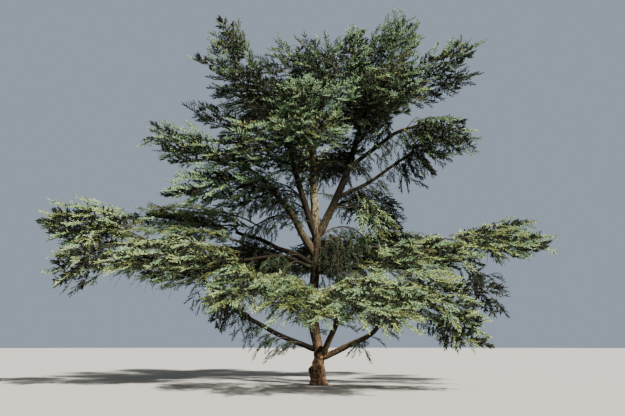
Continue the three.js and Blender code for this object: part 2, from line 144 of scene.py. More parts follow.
# painted light and shade: how much paler (or darker, below 0) the needles of a mass are than the rest, for how lit or
# shaded the mass stands
MASS_PAINTED_LIGHT_SHADE = {
    "mass_far_left_droop": 0.26,
    "mass_left_arm": 0.2,
    "mass_left_plate_top": 0.7,
    "mass_spire_left": -0.2, "mass_left_shoulder": -0.5, "mass_second_top": -0.3, "mass_left_dark": -1.4, "mass_left_mid_arm": -0.8,
    "mass_dome_left": -0.2, "mass_dome_right": 0.16, "mass_centre_body": 0.42, "mass_centre_back": 0.55, "mass_front_skirt": 0.24,
    "mass_tall_tip": 0.0, "mass_right_arm": 0.55, "mass_right_arm_under": -0.95, "mass_right_body": -0.08, "mass_right_fringe": -0.35,
    "mass_right_hang_outer": -0.2, "mass_right_hang_inner": -0.4, "mass_upper_back_left": -0.25, "mass_upper_back_right": -0.25,
    "mass_left_under": 0.92, "mass_left_body": -0.02, "mass_inner_right": -1.2, "mass_inner_right_weep": 0.25, "mass_centre_weep": -0.7,
    "mass_left_plate": 0.70, "mass_left_cascade": 0.06, "mass_left_front": -0.14, "mass_front_centre": 0.02, "mass_right_front": 0.83,
    "mass_right_front_outer": 0.36, "mass_right_tier": 0.46, "mass_right_tip": 0.38, "mass_right_tip_upper": 0.16, "mass_far_left": 0.66,
    "mass_right_droop": 0.0, "mass_right_edge": -1.0, "mass_left_back": -0.6, "mass_right_back": -0.28, "mass_back": -0.45,
    "mass_left_high_arm": -0.08,
    "mass_left_curtain": -1.0,
}
# a steady lean of the sprays of a mass, added to the way they fan out
LEAN = {
    "mass_right_front": (0.8, 0.1, -0.1), "mass_right_front_outer": (0.7, 0.1, -0.1), "mass_left_front": (0.1, 0.0, -0.1),
    "mass_left_cascade": (0.2, 0.0, -0.1), "mass_front_centre": (0.4, 0.0, -0.1), "mass_right_tier": (0.4, 0.0, 0.0),
    "mass_left_plate": (-0.3, 0.0, 0.0), "mass_front_skirt": (0.3, 0.0, 0.0),
}
# masses whose sprays are long and comb-like, all pointing one way
COMBED = {"mass_far_left", "mass_left_plate_top", "mass_left_plate", "mass_left_cascade", "mass_left_front", "mass_front_centre",
          "mass_right_front", "mass_right_front_outer", "mass_right_tier", "mass_right_tip", "mass_right_tip_upper",
          "mass_left_back", "mass_right_back", "mass_back"}
# masses that let some sky through: what share of the dark sprays deep inside they keep
OPEN = {"mass_centre_back": 0.4, "mass_left_under": 0.5, "mass_right_hang_inner": 0.4, "mass_left_dark": 0.6, "mass_right_arm_under": 0.4,
        "mass_tall_tip": 0.25, "mass_left_mid_arm": 0.5, "mass_second_top": 0.3}
# no spray stands above the plane z = a + b * x + c * y in these masses
CLEAR = {
    "mass_left_plate": (2.39, -0.98, 0.03), "mass_left_cascade": (4.52, -0.17, 0.10), "mass_left_front": (3.90, -0.66, 0.08),
    "mass_front_centre": (4.06, 0.12, 0.08), "mass_right_front": (4.00, 0.47, 0.08),
}
# how many of the sprays of a mass take the warmer tones
WARMTH = {
    "mass_far_left": 0.55, "mass_far_left_droop": 0.7, "mass_left_plate_top": 0.35, "mass_left_plate": 0.6, "mass_left_cascade": 0.6,
    "mass_left_front": 0.5, "mass_front_centre": 0.5, "mass_left_curtain": 1.0, "mass_right_front": 0.55, "mass_right_front_outer": 0.6,
    "mass_right_tier": 0.5, "mass_right_tip": 0.55, "mass_right_tip_upper": 0.45, "mass_right_droop": 0.75, "mass_right_edge": 0.85,
    "mass_inner_right_weep": 0.25, "mass_centre_weep": 0.3, "mass_left_back": 0.4, "mass_right_back": 0.4, "mass_back": 0.4,
    "mass_front_skirt": 0.15, "mass_left_body": 0.08, "mass_left_under": 0.08, "mass_left_arm": 0.08,
}
PARTS = 3                 # each spray has its tones in this many parts, from foot to tip
TIP_PALER = 0.13          # how much paler each part is than the one before
SPRAY_SPACING = 0.495     # metres between neighbouring sprays in a layer
LAYER_SPACING = 0.48      # metres from one layer of sprays to the next
CLUSTER = 6.5             # sprays on one branch
CORE_SPACING = 0.56       # metres between the dark sprays deep inside a mass
COMB = {"flat": 0.70, "rise": 0.25, "weep": 0.80}     # how far the sprays of a branch point the same way
# short side branches on bare wood: where on the limb they start, how many to a metre, how they hang, their reach, their
# shade (painted light and shade for the tones of their sprays)
FRINGE = {
    "trunk": (0.22, 1.2, 0.5, 0.7, 0.20),
    "stem_left_outer": (0.15, 3.4, 0.7, 1.0, 0.22), "stem_left_inner": (0.12, 3.0, 0.6, 1.0, 0.20), "stem_right": (0.30, 2.4, 0.6, 0.8, 0.15),
    "bough_right_upper": (0.04, 5.5, 1.2, 0.70, 0.12), "bough_right_mid": (0.08, 4.0, 1.0, 0.65, 0.12), "bough_right_inner": (0.10, 4.0, 1.0, 0.60, 0.15),
    "bough_left_mid": (0.12, 2.6, 0.8, 0.60, 0.15), "bough_left_mid_low": (0.12, 2.6, 0.8, 0.60, 0.15), "bough_left_low": (0.08, 5.5, 0.9, 0.95, 0.12),
    "bough_right_low_bare": (0.30, 2.6, 0.7, 0.60, 0.30), "bough_right_low_rising": (0.35, 2.4, 0.5, 0.50, 0.30), "bough_right_tier": (0.02, 9.0, 1.4, 1.05, 0.22),
    "bough_back_left": (0.12, 2.6, 0.7, 0.60, 0.2), "bough_back_mid": (0.12, 2.6, 0.7, 0.60, 0.2), "bough_back_right": (0.12, 2.6, 0.7, 0.60, 0.2),
    "side_left_low": (0.08, 5.5, 1.2, 0.85, 0.15), "side_left_mid": (0.08, 6.5, 1.1, 0.90, 0.15), "side_left_high": (0.08, 5.0, 1.0, 0.75, 0.15),
    "side_left_rear": (0.08, 4.5, 0.9, 0.85, 0.10), "side_back": (0.10, 4.5, 0.9, 0.90, 0.08), "side_middle": (0.10, 5.0, 0.9, 0.60, 0.15),
    "side_right_fall": (0.05, 9.0, 1.3, 1.0, 0.12), "side_right_rear": (0.05, 8.0, 1.2, 1.1, 0.10), "side_right_low": (0.04, 5.5, 1.2, 1.05, 0.30),
    "side_plate": (0.10, 5.5, 0.2, 0.85, 0.95), "side_plate_high": (0.25, 4.5, 0.2, 0.80, 0.80),
    "side_far_left": (0.10, 4.5, 0.3, 0.80, 0.55), "side_far_left_low": (0.10, 4.0, 0.6, 0.80, 0.50),
}
FRINGE_REGION = {
    "trunk": "upper_middle", "stem_left_outer": "mid_left", "stem_left_inner": "upper_left", "stem_right": "upper_right",
    "bough_right_upper": "upper_right", "bough_right_mid": "upper_right", "bough_right_inner": "upper_back",
    "bough_left_mid": "low_left", "bough_left_mid_low": "low_left", "bough_left_low": "low_left",
    "bough_right_low_bare": "low_right", "bough_right_low_rising": "low_front", "bough_right_tier": "low_right",
    "bough_back_left": "upper_back", "bough_back_mid": "upper_back", "bough_back_right": "upper_back",
    "side_left_low": "mid_left", "side_left_mid": "mid_left", "side_left_high": "mid_left", "side_left_rear": "mid_left", "side_back": "upper_back",
    "side_middle": "upper_middle", "side_right_fall": "upper_right", "side_right_rear": "upper_right", "side_right_low": "upper_back",
    "side_plate": "low_left", "side_plate_high": "low_left",
    "side_far_left": "low_left", "side_far_left_low": "low_left",
}
# bare, thin twigs that hang out of the underside of a mass: how many, and their usual length
WHIPS = {
    "mass_left_cascade": (22, 1.2), "mass_left_curtain": (16, 1.1), "mass_left_plate": (20, 1.0), "mass_far_left_droop": (8, 0.8),
    "mass_left_front": (12, 0.8), "mass_front_centre": (10, 0.8), "mass_right_front": (14, 0.9), "mass_right_front_outer": (8, 0.8),
    "mass_right_fringe": (14, 0.8), "mass_right_hang_inner": (10, 0.8), "mass_inner_right": (8, 0.8), "mass_centre_weep": (8, 0.7),
    "mass_left_under": (8, 0.8), "mass_front_skirt": (8, 0.8), "mass_left_back": (10, 0.9), "mass_right_back": (10, 0.9),
}
NEEDLE_LENGTH = 0.062
NEEDLE_WIDTH = 0.036
SHOOT_RADIUS = 0.004
TWIG_TIP = 0.0042         # radius of the twig that carries one spray
PIPE = 0.53               # how a branch's radius grows with the sprays it carries

# ---- small tools -----------------------------------------------------------
def unit(v):
    v = np.asarray(v, float)
    n = np.linalg.norm(v, axis=-1, keepdims=True)
    return v / np.maximum(n, 1e-9)


def catmull(points, t):
    """Centripetal Catmull-Rom through the points, at the parameters t from 0 to 1."""
    p = np.asarray(points, float)
    n = len(p)
    ext = np.vstack([2 * p[0] - p[1], p, 2 * p[-1] - p[-2]])
    s = np.clip(np.asarray(t, float), 0, 1) * (n - 1)
    i = np.minimum(s.astype(int), n - 2)
    w = (s - i)[:, None]
    x0, x1, x2, x3 = ext[i], ext[i + 1], ext[i + 2], ext[i + 3]
    d0 = np.maximum(np.sum((x0 - x1) ** 2, 1), 1e-12)[:, None] ** 0.25
    d1 = np.maximum(np.sum((x1 - x2) ** 2, 1), 1e-12)[:, None] ** 0.25
    d2 = np.maximum(np.sum((x2 - x3) ** 2, 1), 1e-12)[:, None] ** 0.25
    t1 = ((x1 - x0) / d0 - (x2 - x0) / (d0 + d1) + (x2 - x1) / d1) * d1
    t2 = ((x2 - x1) / d1 - (x3 - x1) / (d1 + d2) + (x3 - x2) / d2) * d1
    return x1 + t1 * w + (-3 * x1 + 3 * x2 - 2 * t1 - t2) * w ** 2 + (2 * x1 - 2 * x2 + t1 + t2) * w ** 3


def hermite(p0, d0, p1, d1, steps):
    e = np.linalg.norm(p1 - p0)
    t = np.linspace(0, 1, steps + 1)[:, None]
    m0, m1 = unit(d0) * e * 0.75, unit(d1) * e * 0.75
    return ((2 * t ** 3 - 3 * t ** 2 + 1) * p0 + (t ** 3 - 2 * t ** 2 + t) * m0
            + (-2 * t ** 3 + 3 * t ** 2) * p1 + (t ** 3 - t ** 2) * m1)


def make_object(name, verts, faces, material, smooth=False):
    """A mesh object from arrays; faces is (n, 3) or (n, 4)."""
    verts = np.ascontiguousarray(verts, np.float32)
    faces = np.ascontiguousarray(faces, np.int32)
    k = faces.shape[1]
    mesh = bpy.data.meshes.new(name)
    mesh.vertices.add(len(verts))
    mesh.vertices.foreach_set("co", verts.ravel())
    mesh.loops.add(faces.size)
    mesh.loops.foreach_set("vertex_index", faces.ravel())
    mesh.polygons.add(len(faces))
    mesh.polygons.foreach_set("loop_start", np.arange(0, faces.size, k, dtype=np.int32))
    mesh.polygons.foreach_set("use_smooth", np.full(len(faces), smooth, bool))
    mesh.update(calc_edges=True)
    mesh.materials.append(material)
    obj = bpy.data.objects.new(name, mesh)
    bpy.context.scene.collection.objects.link(obj)
    return obj


def frames_along(points):
    """Tangent, side and lift at each point of a polyline, carried along without twist."""
    tan = np.gradient(points, axis=0)
    tan = unit(tan)
    side = np.zeros_like(tan)
    first = np.cross(tan[0], [0, 0, 1.0])
    if np.linalg.norm(first) < 0.2:
        first = np.cross(tan[0], [0, 1.0, 0])
    side[0] = unit(first)
    for i in range(1, len(tan)):
        s = side[i - 1] - tan[i] * np.dot(side[i - 1], tan[i])
        side[i] = unit(s)
    return tan, side, np.cross(side, tan)


def wrap_noise(u, v, nu, nv, rnd):
    """Value noise that wraps round in u (0 to 1), with nu by nv cells."""
    grid = rnd.random((nv + 2, nu))
    x, y = (u % 1.0) * nu, np.clip(v, 0, 1) * nv
    i, j = np.floor(x).astype(int), np.floor(y).astype(int)
    fx, fy = x - i, y - j
    fx, fy = fx * fx * (3 - 2 * fx), fy * fy * (3 - 2 * fy)
    i0, i1 = i % nu, (i + 1) % nu
    j0, j1 = np.minimum(j, nv + 1), np.minimum(j + 1, nv + 1)
    return (grid[j0, i0] * (1 - fx) + grid[j0, i1] * fx) * (1 - fy) + (grid[j1, i0] * (1 - fx) + grid[j1, i1] * fx) * fy


# ---- materials -------------------------------------------------------------
def bark_material(name, light, dark, patch_color, scale, ground=None, upper=None, ground_at=(0.8, 3.0)):
    """Furrowed bark: light ridges over dark cracks, with patches; ground is a warmer tint near the soil,
    upper a paler one above the fork."""
    mat = bpy.data.materials.new(name)
    mat.use_nodes = True
    nt = mat.node_tree
    nt.nodes.clear()
    out = nt.nodes.new("ShaderNodeOutputMaterial")
    bsdf = nt.nodes.new("ShaderNodeBsdfPrincipled")
    nt.links.new(bsdf.outputs["BSDF"], out.inputs["Surface"])
    coord = nt.nodes.new("ShaderNodeTexCoord")
    stretch = nt.nodes.new("ShaderNodeMapping")
    stretch.inputs["Scale"].default_value = (scale, scale, scale * 0.24)
    nt.links.new(coord.outputs["Object"], stretch.inputs["Vector"])
    furrow = nt.nodes.new("ShaderNodeTexNoise")
    furrow.inputs["Scale"].default_value = 1.0
    furrow.inputs["Detail"].default_value = 6.0
    furrow.inputs["Roughness"].default_value = 0.62
    furrow.inputs["Distortion"].default_value = 0.6
    nt.links.new(stretch.outputs["Vector"], furrow.inputs["Vector"])

    def shades(top):
        ramp = nt.nodes.new("ShaderNodeValToRGB")
        ramp.color_ramp.elements[0].position = 0.40
        ramp.color_ramp.elements[0].color = (*dark, 1)
        ramp.color_ramp.elements[1].position = 0.60
        ramp.color_ramp.elements[1].color = (*top, 1)
        middle = ramp.color_ramp.elements.new(0.50)
        middle.color = (*[(a * 0.5 + b * 0.5) for a, b in zip(top, dark)], 1)
        nt.links.new(furrow.outputs["Fac"], ramp.inputs["Fac"])
        return ramp.outputs["Color"]

    def blend(first, second, factor):
        mix = nt.nodes.new("ShaderNodeMix")
        mix.data_type = "RGBA"
        nt.links.new(first, mix.inputs["A"])
        if isinstance(second, tuple):
            mix.inputs["B"].default_value = (*second, 1)
        else:
            nt.links.new(second, mix.inputs["B"])
        nt.links.new(factor, mix.inputs["Factor"])
        return mix.outputs["Result"]

    def scaled(value, low, high, bottom, top):
        node = nt.nodes.new("ShaderNodeMapRange")
        node.inputs["From Min"].default_value = low
        node.inputs["From Max"].default_value = high
        node.inputs["To Min"].default_value = bottom
        node.inputs["To Max"].default_value = top
        nt.links.new(value, node.inputs["Value"])
        return node.outputs["Result"]
    patch = nt.nodes.new("ShaderNodeTexNoise")
    patch.inputs["Scale"].default_value = 2.1
    patch.inputs["Detail"].default_value = 3.0
    nt.links.new(coord.outputs["Object"], patch.inputs["Vector"])
    color = blend(shades(light), patch_color, scaled(patch.outputs["Fac"], 0.45, 0.60, 0.0, 0.85))
    split = nt.nodes.new("ShaderNodeSeparateXYZ")
    nt.links.new(coord.outputs["Object"], split.inputs["Vector"])
    if upper:
        color = blend(color, shades(upper), scaled(split.outputs["Z"], 6.4, 7.6, 0.0, 1.0))
    if ground:
        color = blend(color, shades(ground), scaled(split.outputs["Z"], *ground_at, 0.9, 0.0))
    nt.links.new(color, bsdf.inputs["Base Color"])
    bsdf.inputs["Roughness"].default_value = 0.93
    bsdf.inputs["Specular IOR Level"].default_value = 0.1
    bump = nt.nodes.new("ShaderNodeBump")
    bump.inputs["Strength"].default_value = 0.8
    bump.inputs["Distance"].default_value = 0.02
    nt.links.new(furrow.outputs["Fac"], bump.inputs["Height"])
    nt.links.new(bump.outputs["Normal"], bsdf.inputs["Normal"])
    return mat


def plain_material(name, color, roughness, specular=0.3, sheen=0.0, tint=(1, 1, 1)):
    mat = bpy.data.materials.new(name)
    mat.use_nodes = True
    bsdf = mat.node_tree.nodes["Principled BSDF"]
    bsdf.inputs["Base Color"].default_value = (*color, 1)
    bsdf.inputs["Roughness"].default_value = roughness
    bsdf.inputs["Specular IOR Level"].default_value = specular
    if sheen:
        bsdf.inputs["Sheen Weight"].default_value = sheen
        bsdf.inputs["Sheen Roughness"].default_value = 0.5
        bsdf.inputs["Sheen Tint"].default_value = (*tint, 1)
    return mat


# the trunk's main colour, which holds between its warm foot and the paler part above the fork, is kept dark as painted
# shade of the crown on the trunk's middle
TRUNK_BARK = bark_material("trunk_bark", (0.066, 0.050, 0.031), (0.010, 0.007, 0.005), (0.026, 0.020, 0.013), 22,
                           ground=(0.29, 0.175, 0.098), upper=(0.27, 0.23, 0.14))
STEM_BARK = bark_material("stem_bark", (0.125, 0.100, 0.058), (0.014, 0.011, 0.007), (0.050, 0.038, 0.023), 28)
# painted shade: near-black bark for a limb that lies in the crown's shadow
PAINTED_SHADE_BARK = bark_material("stem_bark_painted_shade", (0.011, 0.009, 0.006), (0.003, 0.0022, 0.0015), (0.006, 0.005, 0.003), 28)
# painted shade: the same near-black bark on the right stem, blending at its foot into the trunk's colour
FORK_PAINTED_SHADE_BARK = bark_material("stem_bark_fork_painted_shade", (0.011, 0.009, 0.006), (0.003, 0.0022, 0.0015), (0.006, 0.005, 0.003), 28,
                          ground=(0.150, 0.122, 0.075), ground_at=(6.5, 8.3))
# dark bough bark, darkened further as painted shade of the crown
BOUGH_BARK = bark_material("bough_bark", (0.026, 0.020, 0.012), (0.006, 0.005, 0.003), (0.014, 0.011, 0.007), 34)
# bark of the inner left stem, darker than the outer stem's as painted shade
INNER_BARK = bark_material("inner_stem_bark", (0.055, 0.043, 0.026), (0.008, 0.006, 0.004), (0.024, 0.018, 0.012), 28)
LOW_BARK = bark_material("low_bough_bark", (0.105, 0.078, 0.046), (0.014, 0.010, 0.006), (0.045, 0.032, 0.020), 30,
                         ground=(0.33, 0.22, 0.115))
BRANCH_BARK = plain_material("branch_bark", (0.058, 0.045, 0.032), 0.9, 0.2)
TWIG_BARK = plain_material("twig_bark", (0.070, 0.053, 0.036), 0.85, 0.2)

# needle tones: two ladders from pale to dark, cooler high up and warmer on the low plates; the pale steps are painted
# light on the tops and outsides, the dark ones painted shade within, down to the near-black deep and core tones
TONES = [
    ("pale", (0.290, 0.430, 0.245)),
    ("sage", (0.190, 0.296, 0.148)),
    ("grey", (0.112, 0.182, 0.082)),
    ("silver", (0.385, 0.470, 0.200)),
    ("straw", (0.262, 0.310, 0.108)),
    ("moss", (0.152, 0.175, 0.053)),
    ("olive", (0.150, 0.165, 0.058)),
    ("green", (0.050, 0.084, 0.032)),
    ("deep", (0.021, 0.029, 0.012)),
    ("core", (0.012, 0.017, 0.007)),
]
COOL = np.array([0, 1, 2, 7, 8, 9])
WARM = np.array([3, 4, 5, 7, 8, 9])
OLIVE, CORE = 6, 9
NEEDLES = [plain_material(f"needles_{n}", c, 0.62, 0.30, 0.08, (0.8, 1.0, 0.7)) for n, c in TONES]

# ---- trunk, stems and boughs -----------------------------------------------
def rings_mesh(centre, side, lift, radius, around):
    """A closed tube from centres, frames and a radius for each ring and angle."""
    n = len(centre)
    a = np.arange(around) / around * 2 * np.pi
    rim = (centre[:, None, :]
           + side[:, None, :] * (np.cos(a)[None, :] * radius)[:, :, None]
           + lift[:, None, :] * (np.sin(a)[None, :] * radius)[:, :, None])
    verts = rim.reshape(-1, 3)
    i = np.arange(n - 1)[:, None] * around
    j = np.arange(around)[None, :]
    k = (j + 1) % around
    quads = np.stack([i + j, i + k, i + around + k, i + around + j], -1).reshape(-1, 4)
    tris = np.concatenate([quads[:, [0, 1, 2]], quads[:, [0, 2, 3]]])
    foot, top = len(verts), len(verts) + 1
    verts = np.vstack([verts, centre[:1], centre[-1:]])
    ends = np.concatenate([
        np.stack([np.full(around, foot), (np.arange(around) + 1) % around, np.arange(around)], -1),
        np.stack([np.full(around, top), (n - 1) * around + np.arange(around), (n - 1) * around + (np.arange(around) + 1) % around], -1)])
    return verts, np.concatenate([tris, ends])


def bark_relief(n_rings, around, length, girth, depth, rnd):
    """Height of the bark at each ring and angle: plates split by long cracks, and a finer roughness."""
    u = np.tile(np.arange(around) / around, (n_rings, 1))
    v = np.tile(np.linspace(0, 1, n_rings)[:, None], (1, around))
    wob = (wrap_noise(u, v, 4, max(3, int(length * 2)), rnd) - 0.5) * 0.35
    cells = max(5, int(round(girth * math.pi / 0.075)))
    rows = max(4, int(length / 0.30))
    a = wrap_noise(u + wob * 0.3, v, cells, rows, rnd)
    b = wrap_noise(u - wob * 0.2, v, cells * 2, rows * 2, rnd)
    plates = 1 - np.abs(2 * a - 1)
    plates = np.clip(plates * 1.5, 0, 1) ** 0.6
    fine = 1 - np.abs(2 * b - 1)
    lump = wrap_noise(u, v, 3, max(3, int(length * 1.2)), rnd) - 0.5
    return depth * (plates - 0.7) + depth * 0.35 * (fine - 0.5) + girth * 0.09 * lump


CURVES = {}     # limb name: (points, radii) for the branching rule


def smooth_table(rows, z):
    """Smooth interpolation of the trunk's stations."""
    h = rows[:, 0]
    i = np.clip(np.searchsorted(h, z) - 1, 0, len(h) - 2)
    t = np.clip((z - h[i]) / (h[i + 1] - h[i]), 0, 1)
    out = np.zeros((len(z), rows.shape[1] - 1))
    for k in range(1, rows.shape[1]):
        y = rows[:, k]
        m = np.gradient(y, h)
        d = h[i + 1] - h[i]
        a, b = y[i], y[i + 1]
        out[:, k - 1] = ((2 * t ** 3 - 3 * t ** 2 + 1) * a + (t ** 3 - 2 * t ** 2 + t) * d * m[i]
                         + (-2 * t ** 3 + 3 * t ** 2) * b + (t ** 3 - t ** 2) * d * m[i + 1])
    return out


BURLS = [
    (200, 0.66, 0.085, 0.16, 0.14), (250, 0.40, 0.050, 0.20, 0.13), (292, 0.80, 0.070, 0.13, 0.12), (330, 0.52, 0.055, 0.17, 0.16),
    (268, 0.98, 0.035, 0.11, 0.10), (225, 1.30, 0.040, 0.10, 0.12), (310, 1.16, 0.045, 0.12, 0.09), (60, 0.70, 0.060, 0.17, 0.16),
    (120, 0.45, 0.055, 0.18, 0.15), (160, 0.95, 0.040, 0.13, 0.13), (280, 1.95, 0.030, 0.09, 0.15), (240, 2.70, 0.030, 0.10, 0.13),
]
# pinched places: height, how far they cut in, half height
PINCHES = [(1.12, 0.030, 0.05), (0.90, 0.022, 0.04), (1.52, 0.016, 0.05), (0.24, 0.018, 0.06)]


def build_trunk():
    rows = np.array(TRUNK, float)
    rows[:, :4] /= 1000.0
    top = rows[-1, 0]
    z = np.concatenate([np.linspace(0, 2.6, 110)[:-1], np.linspace(2.6, top, 230)])
    vals = smooth_table(rows, z)
    centre = np.stack([vals[:, 0], vals[:, 1], z], -1)
    around = 60
    a = np.arange(around) / around * 2 * np.pi
    girth, lobing = vals[:, 2], vals[:, 3]
    # the same frame as the solid: side along +X, lift along -Y, so that the lobes agree
    side = np.tile([1.0, 0, 0], (len(z), 1))
    lift = np.tile([0, -1.0, 0], (len(z), 1))
    lobes = 1 + lobing[:, None] * np.cos(TRUNK_LOBES * a[None, :] + z[:, None] * 0.4)
    rnd = np.random.default_rng(SEED + 1)
    depth = 0.030 * np.clip(girth / 0.5, 0.3, 1.3)[:, None]
    swell = wrap_noise(np.tile(a / (2 * np.pi), (len(z), 1)), np.tile((z / top)[:, None], (1, around)), 4, 26, rnd) - 0.5
    relief = bark_relief(len(z), around, top, 0.5, 1.0, rnd) * depth + swell * girth[:, None] * 0.10
    radius = girth[:, None] / 2 * lobes + relief
    # burls and swellings: angle in degrees (0 towards +X, 270 towards the viewer), height, how far they stand out, half width, half height
    for turn, high, out, wide, tall in BURLS:
        apart_by = (a[None, :] - math.radians(turn) + np.pi) % (2 * np.pi) - np.pi
        reach = (apart_by * girth[:, None] / 2 / wide) ** 2 + ((z[:, None] - high) / tall) ** 2
        radius = radius + out * np.exp(-reach * 1.2)
    for high, cut, tall in PINCHES:
        tilt = z[:, None] - high + 0.05 * np.sin(a[None, :] * 2 + high * 9)
        radius = radius - cut * np.exp(-(tilt / tall) ** 2)
    verts, tris = rings_mesh(centre, side, -lift, radius, around)
    obj = make_object("trunk_looks", verts, tris, TRUNK_BARK, True)
    if mesh_volume(verts, tris) < 0:
        obj.data.flip_normals()
    keep = z > 0.0
    CURVES["trunk"] = (centre[keep][::8], girth[keep][::8] / 2)
    return obj


def mesh_volume(v, t):
    a, b, c = v[t[:, 0]], v[t[:, 1]], v[t[:, 2]]
    return float(np.einsum("ij,ij->i", a, np.cross(b, c)).sum() / 6)


# bough_left_low and stem_right take near-black bark as painted shade
BARKS = {"stem_left_outer": STEM_BARK, "stem_left_inner": INNER_BARK, "stem_right": FORK_PAINTED_SHADE_BARK, "bough_left_low": PAINTED_SHADE_BARK,
         "bough_right_low_bare": LOW_BARK, "bough_right_low_rising": LOW_BARK}


def build_limb(name, index):
    row = LIMBS[name]
    a, d = np.array(row["from"]) / 1000, np.array(row["to"]) / 1000
    b = a * 2 / 3 + d / 3 + np.array(row["bend"][0]) / 1000
    c = a / 3 + d * 2 / 3 + np.array(row["bend"][1]) / 1000
    length = np.linalg.norm(b - a) + np.linalg.norm(c - b) + np.linalg.norm(d - c)
    n = int(length / 0.055) + 8
    t = np.linspace(0, 1, n)
    centre = catmull([a, b, c, d], t)
    rnd = np.random.default_rng(SEED + 20 + index)
    # gentle wander, nothing at the ends
    for k in range(2):
        phase, freq = rnd.random() * 6.28, 2.2 + rnd.random() * 2
        w = np.sin(freq * np.pi * t + phase) * np.sin(np.pi * t) * row["girth"][0] / 1000 * 0.22
        axis = unit(np.cross(d - a, [0, 0, 1.0])) if k == 0 else np.array([0, 0, 1.0])
        centre = centre + axis[None, :] * w[:, None]
    girth = (row["girth"][0] + (row["girth"][1] - row["girth"][0]) * t ** 0.85) / 1000
    CURVES[name] = (centre[::5], (girth / 2)[::5])
    # the foot starts lower down inside the parent, thin, and swells where it comes out
    host, host_r = CURVES[row["on"]]
    fine = np.linspace(0, len(host) - 1, 700)
    host_r = np.interp(fine, np.arange(len(host)), host_r)
    host = np.stack([np.interp(fine, np.arange(len(host)), host[:, k]) for k in range(3)], 1)
    near = int(np.argmin(np.linalg.norm(host - a, axis=1)))
    steep = max(0.0, float(unit(centre[3] - centre[0]) @ unit(host[min(near + 20, 699)] - host[max(near - 20, 0)])))
    drop = (0.12 + 1.10 * steep ** 3) * min(1.0, girth[0] / 0.3)
    run = np.concatenate([[0], np.cumsum(np.linalg.norm(np.diff(host, axis=0), axis=1))])
    back = int(np.argmin(np.abs(run - (run[near] - drop))))
    root = hermite(host[back], host[min(back + 9, 699)] - host[max(back - 9, 0)], a, centre[2] - centre[0], max(2, int(drop / 0.055)))
    centre = np.concatenate([root[:-1], centre])
    girth = np.concatenate([np.full(len(root) - 1, girth[0]), girth])
    n = len(centre)
    gaps = np.linalg.norm(centre[:, None] - host[None, ::3], axis=2)
    which = np.argmin(gaps, axis=1)
    out_by = gaps[np.arange(n), which] / host_r[::3][which]
    ease = np.clip(out_by / 1.5, 0, 1)
    collar = (0.50 + 0.50 * ease * (2 - ease)) + 0.10 * np.exp(-((out_by - 1.3) / 0.6) ** 2)
    _, side, lift = frames_along(centre)
    around = 26 if girth[0] > 0.3 else 18
    depth = 0.014 * np.clip(girth / 0.3, 0.35, 1.3)[:, None]
    relief = bark_relief(n, around, length, float(girth.mean()), 1.0, rnd) * depth
    radius = (girth * collar / 2)[:, None] + relief
    verts, tris = rings_mesh(centre, side, lift, radius, around)
    obj = make_object(f"{name}_looks", verts, tris, BARKS.get(name, BOUGH_BARK), True)
    if mesh_volume(verts, tris) < 0:
        obj.data.flip_normals()
    return obj


def side_branch(name):
    """A thin branch through its points: its curve and radii, for the fringe and its tube."""
    row = SIDE_BRANCHES[name]
    pts = catmull(np.array(row["through"]) / 1000, np.linspace(0, 1, 17))
    rad = np.linspace(row["girth"][0], row["girth"][1], 17) / 2000
    return pts, rad


trunk = build_trunk()
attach(trunk, "root")
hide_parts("trunk")
for number, limb in enumerate(LIMBS):
    piece = build_limb(limb, number)
    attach(piece, "root")
    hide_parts(limb)

# ---- sprays: templates -----------------------------------------------------
def shoot(p0, direction, length, rnd, needles, curve=0.12, spike=True, size=1.0, lift=0.08):
    """One leafy shoot: a thin twig with needles set round it. Returns twig and needle triangles as (n, 3, 3)."""
    direction = unit(direction)
    side = np.cross(direction, [0, 0, 1.0])
    side = unit(side if np.linalg.norm(side) > 0.1 else np.cross(direction, [0, 1.0, 0]))
    up = np.cross(side, direction)
    bend = (rnd.random(2) - 0.5) * 2 * curve

    def at(t):
        t = np.asarray(t, float)[:, None]
        return p0 + direction * t * length + (side * bend[0] + up * (bend[1] + lift)) * (t ** 2) * length
    twig = np.zeros((0, 3, 3))
    if spike:
        twig = np.array([[p0 - side * SHOOT_RADIUS, p0 + side * SHOOT_RADIUS, at([0.96])[0]]])
    # needles, by the golden angle round the twig; those at its tip point forward
    k = np.arange(needles)
    t = (k + 0.6) / needles
    phi = k * 2.39996 + rnd.random() * 6.28
    around = side[None] * np.cos(phi)[:, None] + up[None] * np.sin(phi)[:, None]
    tip = np.clip((t - 0.75) / 0.25, 0, 1)
    lean = 1.15 + 0.5 * (rnd.random(needles) - 0.5) + 1.0 * tip
    d = unit(direction[None] * lean[:, None] + around + up[None] * 0.15)
    long = size * NEEDLE_LENGTH * (0.82 + 0.36 * rnd.random(needles)) * (1 - 0.1 * tip)
    wide = size * NEEDLE_WIDTH * (0.85 + 0.3 * rnd.random(needles)) * (1 - 0.2 * tip)
    foot = at(t)
    across = unit(np.cross(d, around + 0.5 * rnd.normal(size=(needles, 3))))
    tri = np.stack([foot - across * wide[:, None] / 2, foot + across * wide[:, None] / 2, foot + d * long[:, None]], 1)
    return twig, tri


# style: side shoots, their reach, their angle, their lift, sag of the axis, needles to a metre of shoot, size of the needles
SPRAY_STYLES = {
    "flat": (10, 0.28, 50, 0.06, -0.05, 46, 0.96),
    "rise": (10, 0.25, 50, 0.40, 0.08, 46, 0.96),
    "weep": (8, 0.31, 34, -0.05, -0.06, 42, 1.0),
    "comb": (9, 0.44, 32, -0.02, -0.07, 38, 0.94),
    "core": (6, 0.38, 62, 0.25, 0.0, 18, 2.35),
}


